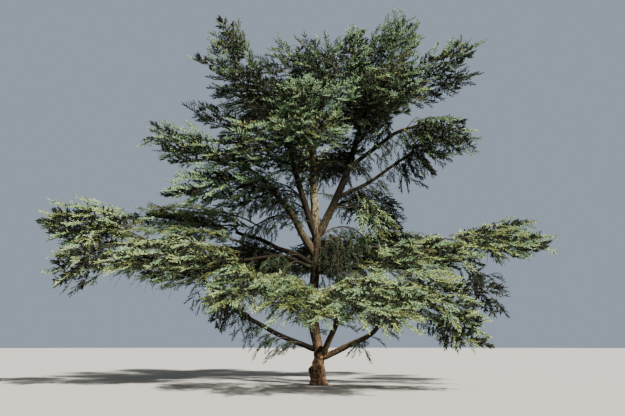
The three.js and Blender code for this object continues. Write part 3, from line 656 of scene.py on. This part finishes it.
def spray_template(style, rnd):
    """A branchlet along +X with shoots to both sides in turn, 0.7 m long. Returns twig and needle triangles."""
    n, reach, angle, lift, sag, thick, size = SPRAY_STYLES[style]
    twigs, needles = [], []
    wave = (rnd.random() - 0.5) * 0.12

    def axis(t):
        return np.array([t * 0.7, wave * math.sin(3.0 * t), sag * t * t])
    for i in range(n):
        t = 0.08 + 0.78 * i / (n - 1) + 0.05 * (rnd.random() - 0.5)
        s = 1 if i % 2 == 0 else -1
        long = reach * (1.0 - 0.42 * t) * (0.7 + 0.6 * rnd.random())
        turn = math.radians(angle * (1 - 0.3 * t) + 26 * (rnd.random() - 0.5))
        d = np.array([math.cos(turn), s * math.sin(turn), lift + 0.55 * (rnd.random() - 0.4)])
        tw, nd = shoot(axis(t), d, max(long, 0.14), rnd, int(round(4 + thick * long)), 0.11 if style == "comb" else 0.16, size=size, spike=style != "core", lift=-0.06 if style == "comb" else 0.08)
        twigs.append(tw)
        needles.append(nd)
    d = axis(1.0) - axis(0.84) + [0, 0, 0.02 if style != "weep" else -0.01]
    tw, nd = shoot(axis(0.82), d, 0.24, rnd, int(round(5 + thick * 0.24)), 0.10, size=size)
    twigs.append(tw)
    needles.append(nd)
    _, nd = shoot(axis(0.10), axis(0.84) - axis(0.10), 0.52, rnd, int(round(thick * 0.34)), 0.02, spike=False, size=size)
    needles.append(nd)
    # the axis itself, three-sided, in two steps
    ts = np.array([0.0, 0.9])
    pts = np.array([axis(t) for t in ts])
    rad = 0.0075 * (1 - 0.6 * ts)
    a = np.arange(3) * 2 * np.pi / 3
    rings = pts[:, None, :] + np.stack([np.zeros(3), np.cos(a), np.sin(a)], -1)[None] * rad[:, None, None]
    for i in range(1):
        for j in range(3):
            k = (j + 1) % 3
            twigs.append(np.array([[rings[i, j], rings[i, k], rings[i + 1, k]], [rings[i, j], rings[i + 1, k], rings[i + 1, j]]]))
    return np.concatenate(twigs), np.concatenate(needles)


KINDS = 14
template_rnd = np.random.default_rng(SEED + 500)
TEMPLATES = {style: [spray_template(style, template_rnd) for _ in range(KINDS)] for style in SPRAY_STYLES}

# ---- growing the masses ----------------------------------------------------
def node_mesh(name):
    me = NODES[name].data
    v = np.zeros(len(me.vertices) * 3, np.float32)
    me.vertices.foreach_get("co", v)
    me.calc_loop_triangles()
    t = np.zeros(len(me.loop_triangles) * 3, np.int32)
    me.loop_triangles.foreach_get("vertices", t)
    return v.reshape(-1, 3).astype(float), t.reshape(-1, 3)


def inside(points, v, t):
    """Which points lie inside a closed mesh: crossings straight up are odd."""
    a, b, c = v[t[:, 0]], v[t[:, 1]], v[t[:, 2]]
    d = (b[:, 0] - a[:, 0]) * (c[:, 1] - a[:, 1]) - (c[:, 0] - a[:, 0]) * (b[:, 1] - a[:, 1])
    ok = np.abs(d) > 1e-12
    a, b, c, d = a[ok], b[ok], c[ok], d[ok]
    px, py = points[:, 0:1], points[:, 1:2]
    s = ((px - a[:, 0]) * (c[:, 1] - a[:, 1]) - (c[:, 0] - a[:, 0]) * (py - a[:, 1])) / d
    r = ((b[:, 0] - a[:, 0]) * (py - a[:, 1]) - (px - a[:, 0]) * (b[:, 1] - a[:, 1])) / d
    hit = (s >= 0) & (r >= 0) & (s + r <= 1)
    z = a[:, 2] + s * (b[:, 2] - a[:, 2]) + r * (c[:, 2] - a[:, 2])
    return ((hit & (z > points[:, 2:3])).sum(1) % 2) == 1


def wood_points():
    """Points along the trunk and limbs that a branch can leave from: place and radius."""
    p, r = [], []
    for name, (c, rad) in CURVES.items():
        p.append(c)
        r.append(rad)
    return np.concatenate(p), np.concatenate(r)


WOOD_P, WOOD_R = wood_points()


def nearest_foot(points, target):
    """Where on the wood a branch to target starts: near it, and rather lower and further in."""
    gap = target[None] - points
    cost = np.linalg.norm(gap, axis=1) + 0.5 * np.maximum(0, -gap[:, 2]) + 0.15 * np.abs(gap[:, 2])
    return int(np.argmin(cost))


def tube(points, radii, sides):
    """A thin open-ended tube, as (n, 3, 3) triangles, with a point at its far end if it has five sides or more."""
    tan, side, lift = frames_along(points)
    a = np.arange(sides) / sides * 2 * np.pi
    rim = points[:, None] + (side[:, None] * np.cos(a)[None, :, None] + lift[:, None] * np.sin(a)[None, :, None]) * radii[:, None, None]
    i0, i1 = rim[:-1], rim[1:]
    j0, j1 = np.roll(i0, -1, 1), np.roll(i1, -1, 1)
    one = np.stack([i0, j0, j1], 2).reshape(-1, 3, 3)
    two = np.stack([i0, j1, i1], 2).reshape(-1, 3, 3)
    if sides < 5:
        return np.concatenate([one, two])
    top = np.stack([rim[-1], np.roll(rim[-1], -1, 0), np.tile(points[-1], (sides, 1))], 1)
    return np.concatenate([one, two, top])


def apart(p, gap):
    """Indices of points that are kept, each at least one gap from the others."""
    q = p / gap
    chosen = np.zeros((len(q), 3))
    kept = []
    for k in range(len(q)):
        m = len(kept)
        if m and np.min(np.sum((chosen[:m] - q[k]) ** 2, 1)) < 1:
            continue
        chosen[m] = q[k]
        kept.append(k)
    return kept


def cluster(q, count, rnd):
    """Plain k-means: which cluster each point belongs to."""
    centres = q[rnd.choice(len(q), count, replace=False)]
    for _ in range(9):
        label = np.argmin(((q[:, None] - centres[None]) ** 2).sum(2), 1)
        for k in range(count):
            if np.any(label == k):
                centres[k] = q[label == k].mean(0)
    return label


def grow_mass(name, index):
    """Sprays of one mass, and the branches that carry them. Returns sprays (base, forward, normal, size, tone, style, kind) and tubes."""
    rnd = np.random.default_rng(SEED + 1000 + index * 13)
    style, pitch, close = STYLE[name]
    v, t = node_mesh(name)
    lo, hi = v.min(0), v.max(0)
    centre = v.mean(0)
    # the long axis, from the inner end (near the wood) to the outer end
    spread = v - centre
    axis = np.linalg.svd(spread, full_matrices=False)[2][0]
    s = spread @ axis
    ends = [centre + axis * s.min(), centre + axis * s.max()]
    gaps = [np.min(np.linalg.norm(WOOD_P - e, axis=1)) for e in ends]
    if gaps[0] > gaps[1]:
        axis, ends = -axis, ends[::-1]
        s = -s
    inner, outer = ends
    size = float(np.ptp(s))
    # candidates inside the solid
    n_try = int(np.prod(hi - lo) * 420)
    p = lo + rnd.random((n_try, 3)) * (hi - lo)
    p = p[inside(p, v, t)]
    # which way foliage grows at each place
    trunk_xy = np.array([-0.1, 0.3])

    def field(x):
        out = unit(np.concatenate([x[:, :2] - trunk_xy, np.zeros((len(x), 1))], 1))
        rel = x - inner
        along = rel @ axis
        off = rel - along[:, None] * axis
        fan = unit(off * 1.5 + axis * np.maximum(along, 0.3 * size)[:, None])
        f = fan * 0.9 + axis[None] * 0.3 + out * 0.5 + np.array(LEAN.get(name, (0.0, 0.0, 0.0)))
        level = f[:, :2] + out[:, :2] * 0.15
        level = unit(level)
        rise = np.clip((x[:, 2] - lo[2]) / max(hi[2] - lo[2], 1e-6), 0, 1)
        ang = np.full(len(x), math.radians(pitch))
        far = np.clip(along / size, 0, 1)
        if style == "flat":
            ang = ang + math.radians(10) * (0.45 - far) + math.radians(14) * (rise - 0.5)
        elif style == "rise":
            ang = ang + math.radians(34) * (rise - 0.4)
        return np.concatenate([level * np.cos(ang)[:, None], np.sin(ang)[:, None]], 1)
    # foliage deep inside, dark with painted shade: places well within the solid
    deep = p.copy()
    for step in ((0.34, 0, 0), (-0.34, 0, 0), (0, 0.34, 0), (0, -0.34, 0), (0, 0, 0.26), (0, 0, -0.22)):
        deep = deep[inside(deep + np.array(step), v, t)]
    deep = deep[apart(deep, np.array([CORE_SPACING, CORE_SPACING, CORE_SPACING * 0.8]))]
    if name in OPEN:
        deep = deep[rnd.random(len(deep)) < OPEN[name]]
    # the tips reach the solid's skin, so the middles of the sprays stay a little inside it
    g = field(p)
    p = p[inside(p + g * 0.16, v, t)]
    # layers: near-level sheets that wave a little
    ph = rnd.random(4) * 6.28
    wave = 0.15 * np.sin(p[:, 0] * 1.4 + ph[0]) + 0.13 * np.sin(p[:, 1] * 1.6 + ph[1]) + 0.09 * np.sin(p[:, 0] * 3.1 - p[:, 1] * 2.6 + ph[2])
    flat = np.hypot(*(p - inner)[:, :2].T)
    slope = math.tan(math.radians(np.clip(pitch, -25, 25))) * 0.7
    level = (p[:, 2] - flat * slope + wave) / LAYER_SPACING + ph[3]
    band = np.abs(level - np.round(level))
    if style != "weep":
        p = p[band < (0.24 if style == "flat" else 0.42)]
    if name in CLEAR:
        a, b, c = CLEAR[name]
        p = p[p[:, 2] < a + b * p[:, 0] + c * p[:, 1]]
        deep = deep[deep[:, 2] < a - 0.2 + b * deep[:, 0] + c * deep[:, 1]]
    # keep them apart
    gap_xy = SPRAY_SPACING / close
    gap_z = gap_xy * (0.62 if style != "weep" else 1.0)
    p = p[apart(p, np.array([gap_xy, gap_xy, gap_z]))]
    if len(p) < 4:
        return [], [], None
    core = np.concatenate([np.zeros(len(p), bool), np.ones(len(deep), bool)])
    p = np.concatenate([p, deep])
    # clusters: each is one branch with the sprays it carries
    count = max(1, int(round(len(p) / CLUSTER)))
    label = cluster(p / np.array([1, 1, 0.6]), count, rnd)
    groups = [np.nonzero(label == k)[0] for k in range(count)]
    groups = [g for g in groups if len(g)]
    mid = np.array([p[g].mean(0) for g in groups])
    head = field(mid) + rnd.normal(size=mid.shape) * np.array([0.20, 0.20, 0.10])
    head = unit(head)
    base, forward, scale, carrier, feet = [], [], [], [], []
    for k, g in enumerate(groups):
        reach = max(0.35, float(np.max((p[g] - mid[k]) @ head[k])))
        back = max(0.45, float(-np.min((p[g] - mid[k]) @ head[k])) + 0.22)
        foot = mid[k] - head[k] * back
        tip = mid[k] + head[k] * reach * 0.55
        span = np.linalg.norm(tip - foot)
        feet.append((foot, tip))
        rel = p[g] - foot
        along = rel @ head[k]
        off = np.linalg.norm(rel - along[:, None] * head[k], axis=1)
        at = np.clip(along - off * 0.85, 0.03, span * 0.97)
        for j, i in enumerate(g):
            a = foot + head[k] * at[j]
            d = p[i] - a + rnd.normal(size=3) * 0.05
            gap = np.linalg.norm(d)
            d = d / max(gap, 1e-6) + head[k] * COMB[style]
            if style != "weep":
                d[2] = d[2] * 0.75 + head[k][2] * 0.25
            d = unit(d)
            z = np.clip(gap * 2.0, 0.52, 0.86) * (0.9 + 0.2 * rnd.random())
            base.append(p[i] - d * z * 0.5)
            forward.append(d)
            scale.append(z / 0.7)
            carrier.append((k, a))
    base, forward, scale = np.array(base), np.array(forward), np.array(scale)
    order = np.concatenate(groups)
    place = p[order]
    up = np.tile([0, 0, 1.0], (len(base), 1))
    if style == "weep":
        up = up * 0.4 + rnd.normal(size=up.shape)
    flatwise = up - forward * np.sum(up * forward, 1)[:, None]
    weak = np.linalg.norm(flatwise, axis=1) < 0.1
    flatwise[weak] = np.cross(forward[weak], [0.0, 1.0, 0.3])
    nrm = unit(flatwise)
    roll = rnd.normal(size=len(base)) * 0.26
    nrm = nrm * np.cos(roll)[:, None] + np.cross(nrm, forward) * np.sin(roll)[:, None]
    # the axis of the mass, through the middle of what is in it
    bins = 6
    edge = np.linspace(s.min(), s.max(), bins + 1)
    where = (p - centre) @ axis
    mids = []
    for b in range(bins):
        near = np.abs(where - (edge[b] + edge[b + 1]) / 2) < (edge[1] - edge[0]) * 0.9
        if near.sum() >= 2:
            mids.append(p[near].mean(0))
    mids = np.array((mids or [p.mean(0)])[:5])
    mids = mids[np.argsort((mids - inner) @ axis)]
    foot_at = nearest_foot(WOOD_P, mids[0])
    spine = [WOOD_P[foot_at]] + list(mids)
    P = np.array(spine)
    parent = [-1] + list(range(len(mids)))
    path = np.concatenate([[0], np.cumsum(np.linalg.norm(np.diff(P, axis=0), axis=1))])
    D = np.array([unit(P[min(i + 1, len(P) - 1)] - P[max(i - 1, 0)]) for i in range(len(P))])
    n_spine = len(spine)
    starts = np.array([f[0] for f in feet])
    seq = np.argsort(np.min(np.linalg.norm(starts[:, None] - mids[None], axis=2), axis=1))
    at_node = {}
    load0 = [0.0] * n_spine
    for k in seq:
        foot, tip = feet[k]
        gap = foot - P[1:]
        dist = np.sqrt(gap[:, 0] ** 2 + gap[:, 1] ** 2 + 1.8 * gap[:, 2] ** 2) + 1e-6
        ahead = (gap @ head[k]) / np.linalg.norm(gap, axis=1).clip(1e-6)
        follows = np.sum(gap * D[1:], 1) / np.linalg.norm(gap, axis=1).clip(1e-6)
        cost = dist + 0.22 * path[1:] + 0.45 * (1 - ahead) + 0.25 * (1 - follows)
        j = int(np.argmin(cost)) + 1
        P = np.vstack([P, foot, tip])
        path = np.append(path, [path[j] + dist[j - 1], path[j] + dist[j - 1] + np.linalg.norm(tip - foot)])
        D = np.vstack([D, head[k], head[k]])
        parent += [j, len(P) - 2]
        load0 += [len(groups[k]) / 2, len(groups[k]) / 2]
        at_node[k] = len(P) - 2
    load = np.array(load0, float)
    for i in range(len(P) - 1, 0, -1):
        load[parent[i]] += load[i]
    radius = np.minimum(TWIG_TIP * np.maximum(load, 1) ** PIPE, WOOD_R[foot_at] * 0.85)
    thick, thin = [], []
    for i in range(1, len(P)):
        j = parent[i]
        e = np.linalg.norm(P[i] - P[j])
        steps = 5 if i < n_spine else (4 if e > 0.9 else 3)
        d0 = D[j] if j > 0 else unit(P[i] - P[j])
        pts = hermite(P[j], d0, P[i], D[i], steps)
        if e > 0.5:
            pts[1:-1] += rnd.normal(size=(steps - 1, 3)) * 0.02 * e
        r1 = radius[i]
        r0 = min(radius[j], r1 * 1.35) if i >= n_spine else radius[i] * (1.12 if i > 1 else 1.3)
        sides = 7 if r1 > 0.03 else (5 if r1 > 0.012 else 3)
        (thick if r1 > 0.010 else thin).append(tube(pts, np.linspace(r0, r1, steps + 1), sides))
    for i, (k, a) in enumerate(carrier):
        e = np.linalg.norm(base[i] - a)
        if e > 0.04:
            thin.append(tube(np.array([a, base[i]]), np.array([0.0085, 0.0075]), 3))
    # tone: painted light and shade, paler on top and outside, darker within and underneath, in patches
    height = (place[:, 2] - lo[2]) / max(hi[2] - lo[2], 1e-6)
    far = np.clip(((place - inner) @ axis) / size, 0, 1)
    patch = np.sin(place[:, 0] * 0.9 + 1.3) * np.sin(place[:, 1] * 1.1 + 0.4) + 0.7 * np.sin(place[:, 0] * 2.1 - place[:, 2] * 1.7)
    value = 0.42 * height + 0.22 * far + 0.12 * patch + 0.22 + MASS_PAINTED_LIGHT_SHADE.get(name, 0.0) + rnd.normal(size=len(base)) * 0.22
    mix = np.random.default_rng(SEED + 700 + index)
    near = value[:, None] + TIP_PALER * (np.arange(PARTS) - (PARTS - 1) / 2) + mix.normal(size=(len(base), PARTS)) * 0.12
    # steps of painted light and shade, from pale down to the near-black core tone, painted deep shade, below -0.45
    step = np.select([near > 0.74, near > 0.50, near > 0.28, near > 0.06, near > -0.45], [0, 1, 2, 3, 4], 5)
    warm = (rnd.random(len(base)) < WARMTH.get(name, 0.06))[:, None]
    warm = np.where(mix.random((len(base), PARTS)) < 0.65, mix.random((len(base), PARTS)) < WARMTH.get(name, 0.06), warm)
    tone = np.where(warm, WARM[step], COOL[step])
    olive = (patch + rnd.normal(size=len(base)) * 0.6 > 1.25) & (value > 0.15)
    tone = np.where(olive[:, None], OLIVE, tone)
    # the sprays deep inside take the near-black core tone: painted shade
    hidden = core[order]
    tone = np.where(hidden[:, None], CORE, tone)
    kind = rnd.integers(0, KINDS, len(base))
    look = "comb" if name in COMBED else style
    styles = ["core" if h else look for h in hidden]
    return list(zip(base, forward, nrm, scale, tone, styles, kind)), thick, thin


def grow_fringe(name, index):
    """Short side branches with sparse sprays along a limb, most of them hanging under it; the sprays' tones are painted
    light and shade, mostly dark.
    """
    rnd = np.random.default_rng(SEED + 5000 + index * 7)
    first, per_metre, hang, reach, shade = FRINGE[name]
    sprays, thick, thin = [], [], []
    if name in SIDE_BRANCHES:
        c, rad = side_branch(name)
        thick.append(tube(c, rad, 7))
    else:
        c, rad = CURVES[name]
    seg = np.linalg.norm(np.diff(c, axis=0), axis=1)
    run = np.concatenate([[0], np.cumsum(seg)])
    number = max(2, int((1 - first) * run[-1] * per_metre))
    turn = rnd.random() < 0.5
    for k in range(number):
        u = run[-1] * (first + (1 - first) * (k + rnd.random()) / number)
        p = np.array([np.interp(u, run, c[:, j]) for j in range(3)])
        r = float(np.interp(u, run, rad))
        tan = unit(np.array([np.interp(min(u + 0.3, run[-1]), run, c[:, j]) for j in range(3)]) - p + 1e-6)
        turn = not turn
        side = unit(np.cross(tan, [0, 0, 1.0])) * (1 if turn else -1)
        d = unit(tan * (0.4 + 0.6 * rnd.random()) + side * (0.3 + 0.8 * rnd.random()) + np.array([0, 0, -hang * (0.2 + 0.7 * rnd.random())]))
        long = reach * (0.55 + 0.8 * rnd.random())
        end = p + d * (r + long)
        droop = unit(d + np.array([0, 0, -0.75 * hang]))
        pts = hermite(p, unit(side + tan * 0.5 + np.array([0, 0, 0.25])), end, droop, 4)
        thin.append(tube(pts, np.linspace(0.015, 0.007, 5), 3))
        count = 2 + int(long * (2.5 + 2.0 * rnd.random()))
        for m in range(count):
            t = 1.0 if m == 0 else 0.25 + 0.7 * (m - 1 + rnd.random()) / (count - 1)
            at = np.array([np.interp(t * 4, np.arange(5), pts[:, j]) for j in range(3)])
            lead = unit(np.array([np.interp(min(t * 4 + 0.5, 4), np.arange(5), pts[:, j]) for j in range(3)]) - at + droop * 0.05)
            out = unit(np.cross(lead, [0.1, 0.2, 1.0])) * (1 if m % 2 else -1) * (0.0 if m == 0 else 0.75)
            f = unit(lead + out + np.array([0, 0, -0.25 * hang]) + rnd.normal(size=3) * 0.22)
            up = np.array([0, 0, 1.0]) + rnd.normal(size=3) * 0.45
            up = unit(up - f * (up @ f))
            # painted light and shade: the limb's shade value picks a pale or a dark tone
            value = shade + rnd.normal() * 0.2
            tone = 1 if value > 1.0 else (4 if value > 0.8 else (5 if value > 0.62 else (2 if value > 0.45 else (7 if value > 0.18 else 8))))
            sprays.append((at, f, up, (0.50 + 0.35 * rnd.random()), (tone,) * PARTS, "weep" if hang > 0.5 else "flat", int(rnd.integers(0, KINDS))))
    return sprays, thick, thin


def grow_whips(name, sprays, index):
    """Bare twigs from the lowest sprays of a mass: they fall, curl, and some fork."""
    number, usual = WHIPS[name]
    rnd = np.random.default_rng(SEED + 9000 + index * 3)
    base = np.array([row[0] for row in sprays])
    lead = np.array([row[1] for row in sprays])
    low = np.argsort(base[:, 2])[:max(number, len(base) // 3)]
    out = []
    for k in rnd.choice(low, min(number, len(low)), replace=False):
        long = usual * (0.5 + 0.7 * rnd.random())
        fall = unit(lead[k] * 0.7 + np.array([0, 0, -0.9]) + rnd.normal(size=3) * 0.35)
        end = base[k] + fall * long
        end[2] = max(end[2], 0.4)
        curl = unit(fall * np.array([1, 1, 0.2]) + np.array([0, 0, 0.8 * rnd.random() - 0.6]))
        pts = hermite(base[k], unit(lead[k] + np.array([0, 0, 0.1])), end, curl, 6)
        out.append(tube(pts, np.linspace(0.0105, 0.0045, 7), 3))
        for m in (2, 4):
            if rnd.random() < 0.6:
                d = unit(pts[m + 1] - pts[m] + rnd.normal(size=3) * 0.12)
                tip = pts[m] + d * long * (0.2 + 0.2 * rnd.random()) + np.array([0, 0, -0.03])
                out.append(tube(np.array([pts[m], (pts[m] + tip) / 2 + rnd.normal(size=3) * 0.015, tip]), np.array([0.0065, 0.005, 0.0035]), 3))
    return out


def place_sprays(sprays, part):
    """All sprays as triangles, by tone (part 1, needles) or together (part 0, twigs)."""
    groups = {}
    for b, f, n, length, tones, style, which in sprays:
        for k, tone in enumerate(tones if part == 1 else (0,)):
            groups.setdefault((style, which, int(tone), k), []).append((b, f, n, length))
    out = {}
    for (style, which, tone, k), rows in groups.items():
        tri = TEMPLATES[style][which][part]
        if part == 1:
            tri = tri[k * len(tri) // PARTS:(k + 1) * len(tri) // PARTS]
        b = np.array([r[0] for r in rows])
        f = np.array([r[1] for r in rows])
        n = np.array([r[2] for r in rows])
        length = np.array([r[3] for r in rows])
        s = np.cross(n, f)
        rot = np.stack([f, s, n], 2) * length[:, None, None]
        pts = np.einsum("kij,tvj->ktvi", rot, tri) + b[:, None, None, :]
        out.setdefault(tone, []).append(pts.reshape(-1, 3, 3))
    return {k: np.concatenate(x) for k, x in out.items()}


def joined(name, tris, material, masses):
    tris = np.asarray(tris, np.float32)
    verts = tris.reshape(-1, 3)
    faces = np.arange(len(verts), dtype=np.int32).reshape(-1, 3)
    obj = make_object(name, verts, faces, material)
    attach(obj, "root")
    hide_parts(*masses)
    return obj


counts = {}
number = 0
for region, masses in REGIONS.items():
    sprays, thick, thin = [], [], []
    for mass in masses:
        a, b, c = grow_mass(mass, number)
        number += 1
        if c is None:
            continue
        sprays += a
        thick += b
        thin += c
        if mass in WHIPS:
            thin += grow_whips(mass, a, number)
        counts[mass] = len(a)
    for limb, where in FRINGE_REGION.items():
        if where == region:
            a, b, c = grow_fringe(limb, number)
            number += 1
            sprays += a
            thick += b
            thin += c
            counts[f"fringe_{limb}"] = len(a)
    for tone, tris in place_sprays(sprays, 1).items():
        joined(f"needles_{region}_{TONES[tone][0]}", tris, NEEDLES[tone], masses)
        counts[f"tris_{region}_{tone}"] = len(tris)
    twigs = place_sprays(sprays, 0)[0]
    joined(f"twigs_{region}", np.concatenate([twigs] + thin), TWIG_BARK, masses)
    joined(f"branches_{region}", np.concatenate(thick), BRANCH_BARK, masses)
    counts[f"twigs_{region}"] = len(twigs) + sum(len(x) for x in thin) + sum(len(x) for x in thick)
print("SPRAYS", sum(v for k, v in counts.items() if k.startswith("mass")), "NEEDLE TRIS", sum(v for k, v in counts.items() if k.startswith("tris")), "WOOD TRIS", sum(v for k, v in counts.items() if k.startswith("twigs")))

# ---- floor, backdrop and light ---------------------------------------------
floor_mat = plain_material("floor", (0.46, 0.45, 0.43), 0.9, 0.2)
floor = make_object("floor", [(-360, -360, -0.004), (360, -360, -0.004), (360, 360, -0.004), (-360, 360, -0.004)], [(0, 1, 2, 3)], floor_mat)
floor.visible_diffuse = False

# a plain pale backdrop far round the tree, which neither lights it nor shades it
backdrop_mat = bpy.data.materials.new("backdrop")
backdrop_mat.use_nodes = True
backdrop_nodes = backdrop_mat.node_tree
backdrop_nodes.nodes.clear()
glow = backdrop_nodes.nodes.new("ShaderNodeEmission")
glow.inputs["Color"].default_value = (0.50, 0.60, 0.72, 1)
glow.inputs["Strength"].default_value = 0.62
surface = backdrop_nodes.nodes.new("ShaderNodeOutputMaterial")
backdrop_nodes.links.new(glow.outputs["Emission"], surface.inputs["Surface"])
turn = np.linspace(0, 2 * np.pi, 97)[:-1]
rise = np.radians([-1.0, 8, 20, 35, 50, 65, 78])
ring_pts = np.stack([np.cos(rise)[:, None] * np.cos(turn), np.cos(rise)[:, None] * np.sin(turn), np.tile(np.sin(rise)[:, None], (1, 96))], -1).reshape(-1, 3) * 350
i, j = np.arange(6)[:, None] * 96, np.arange(96)[None, :]
jj = (j + 1) % 96
dome_quads = np.stack([i + j, i + 96 + j, i + 96 + jj, i + jj], -1).reshape(-1, 4)
dome_tris = np.concatenate([dome_quads[:, [0, 1, 2]], dome_quads[:, [0, 2, 3]],
                            np.stack([6 * 96 + j[0], np.full(96, len(ring_pts)), 6 * 96 + jj[0]], -1)])
backdrop = make_object("backdrop", np.vstack([ring_pts, [[0, 0, 350.0]]]), dome_tris, backdrop_mat, True)
backdrop.visible_diffuse = backdrop.visible_glossy = backdrop.visible_transmission = backdrop.visible_shadow = False

world = bpy.data.worlds.new("studio")
world.use_nodes = True
world.node_tree.nodes["Background"].inputs["Color"].default_value = (0.90, 0.96, 1.0, 1)
world.node_tree.nodes["Background"].inputs["Strength"].default_value = 0.20
bpy.context.scene.world = world


def sun(name, direction, strength, angle, color):
    data = bpy.data.lights.new(name, "SUN")
    data.energy = strength
    data.angle = math.radians(angle)
    data.color = color
    obj = bpy.data.objects.new(name, data)
    bpy.context.scene.collection.objects.link(obj)
    obj.rotation_euler = (-Vector(direction)).to_track_quat("-Z", "Y").to_euler()
    return obj


sun("key", (0.55, -0.68, 0.82), 11.7, 3, (1.0, 0.96, 0.86))
